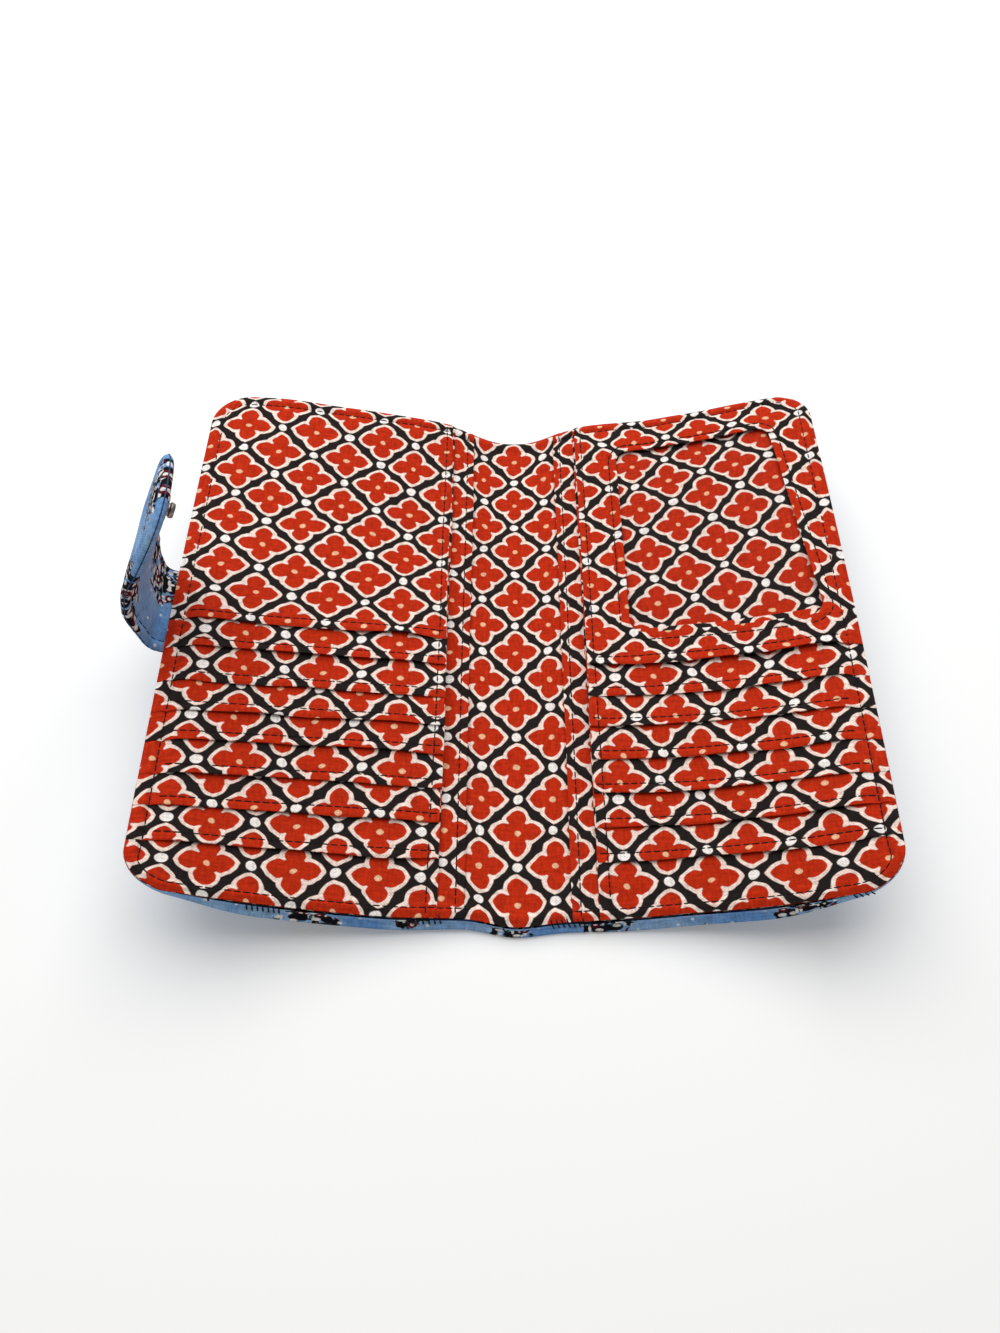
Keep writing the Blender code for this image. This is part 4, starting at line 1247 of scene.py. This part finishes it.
def make_stage():
    """A pale, seamless floor that shows near white to the camera and keeps the wallet's shadow."""
    material, tree = new_material("matt_white_paper_floor")
    base = add(tree, "BsdfDiffuse", {"Color": linear("#F6F6F5")})
    lift = add(tree, "Math", {0: add(tree, "LightPath").outputs["Is Camera Ray"], 1: FLOOR_GLOW},
               operation="MULTIPLY")
    glow = add(tree, "Emission", {"Color": linear("#F8F8F7"), "Strength": lift})
    paper = add(tree, "AddShader", {0: base, 1: glow})
    add(tree, "OutputMaterial", {"Surface": paper})
    corners = np.array([(-1, -1, 0), (1, -1, 0), (1, 1, 0), (-1, 1, 0)])
    new_piece("paper_floor", corners * FLOOR_HALF, [(0, 1, 2, 3)], material)


def make_room():
    """The soft light of a pale room."""
    world = bpy.data.worlds.new("soft_room")
    bpy.context.scene.world = world
    world.use_nodes = True
    world.node_tree.nodes.clear()
    room = add(world.node_tree, "Background", {"Color": linear("#F6F6F5"), "Strength": ROOM_LIGHT})
    add(world.node_tree, "OutputWorld", {"Surface": room})


def make_lamp():
    """A large, soft lamp behind the wallet."""
    data = bpy.data.lights.new("window_softbox", "AREA")
    data.size = LAMP_SIZE * MM
    data.energy = LAMP_POWER
    lamp = bpy.data.objects.new("window_softbox", data)
    bpy.context.scene.collection.objects.link(lamp)
    lamp.location = Vector(LAMP_PLACE) * MM
    lamp.rotation_euler = (Vector(LAMP_AIM) - Vector(LAMP_PLACE)).to_track_quat("-Z", "Y").to_euler()


def make_camera():
    """The view from the near end, steeply down."""
    data = bpy.data.cameras.new("camera")
    data.lens = CAMERA_LENS
    data.sensor_width = 36.0
    data.clip_start = 0.01
    camera = bpy.data.objects.new("camera", data)
    bpy.context.scene.collection.objects.link(camera)
    camera.location = Vector(CAMERA_PLACE) * MM
    camera.rotation_euler = (math.radians(CAMERA_TILT), 0.0, 0.0)
    bpy.context.scene.camera = camera


lining = lining_cotton()
outside = outer_cotton()
dark_thread = thread_material("black_polyester_thread", ("#0E0C10", "#242126"))
blue_thread = thread_material("blue_polyester_thread", ("#22344F", "#46638F"))
nickel = nickel_material()

for cover_side in (BACK, FRONT):
    build_outer(cover_side, outside)
    build_lining(cover_side, lining)

layers = make_plies()
for layer_name, layer in layers.items():
    if layer_name == "front_window_frame":
        build_window_frame(layer, lining)
    else:
        build_ply(layer_name, layer, lining)
build_film(vinyl_material())
for cover_side in (BACK, FRONT):
    cover_stitches(cover_side, layers, dark_thread)
    whip_stitches(cover_side, dark_thread)
build_tab(outside, blue_thread)

for metal in ("snap_stud", "snap_socket"):
    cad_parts[metal].data.materials.clear()
    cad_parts[metal].data.materials.append(nickel)
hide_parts("socket_backing")

make_stage()
make_room()
make_lamp()
make_camera()
bpy.context.scene.view_settings.view_transform = "Standard"
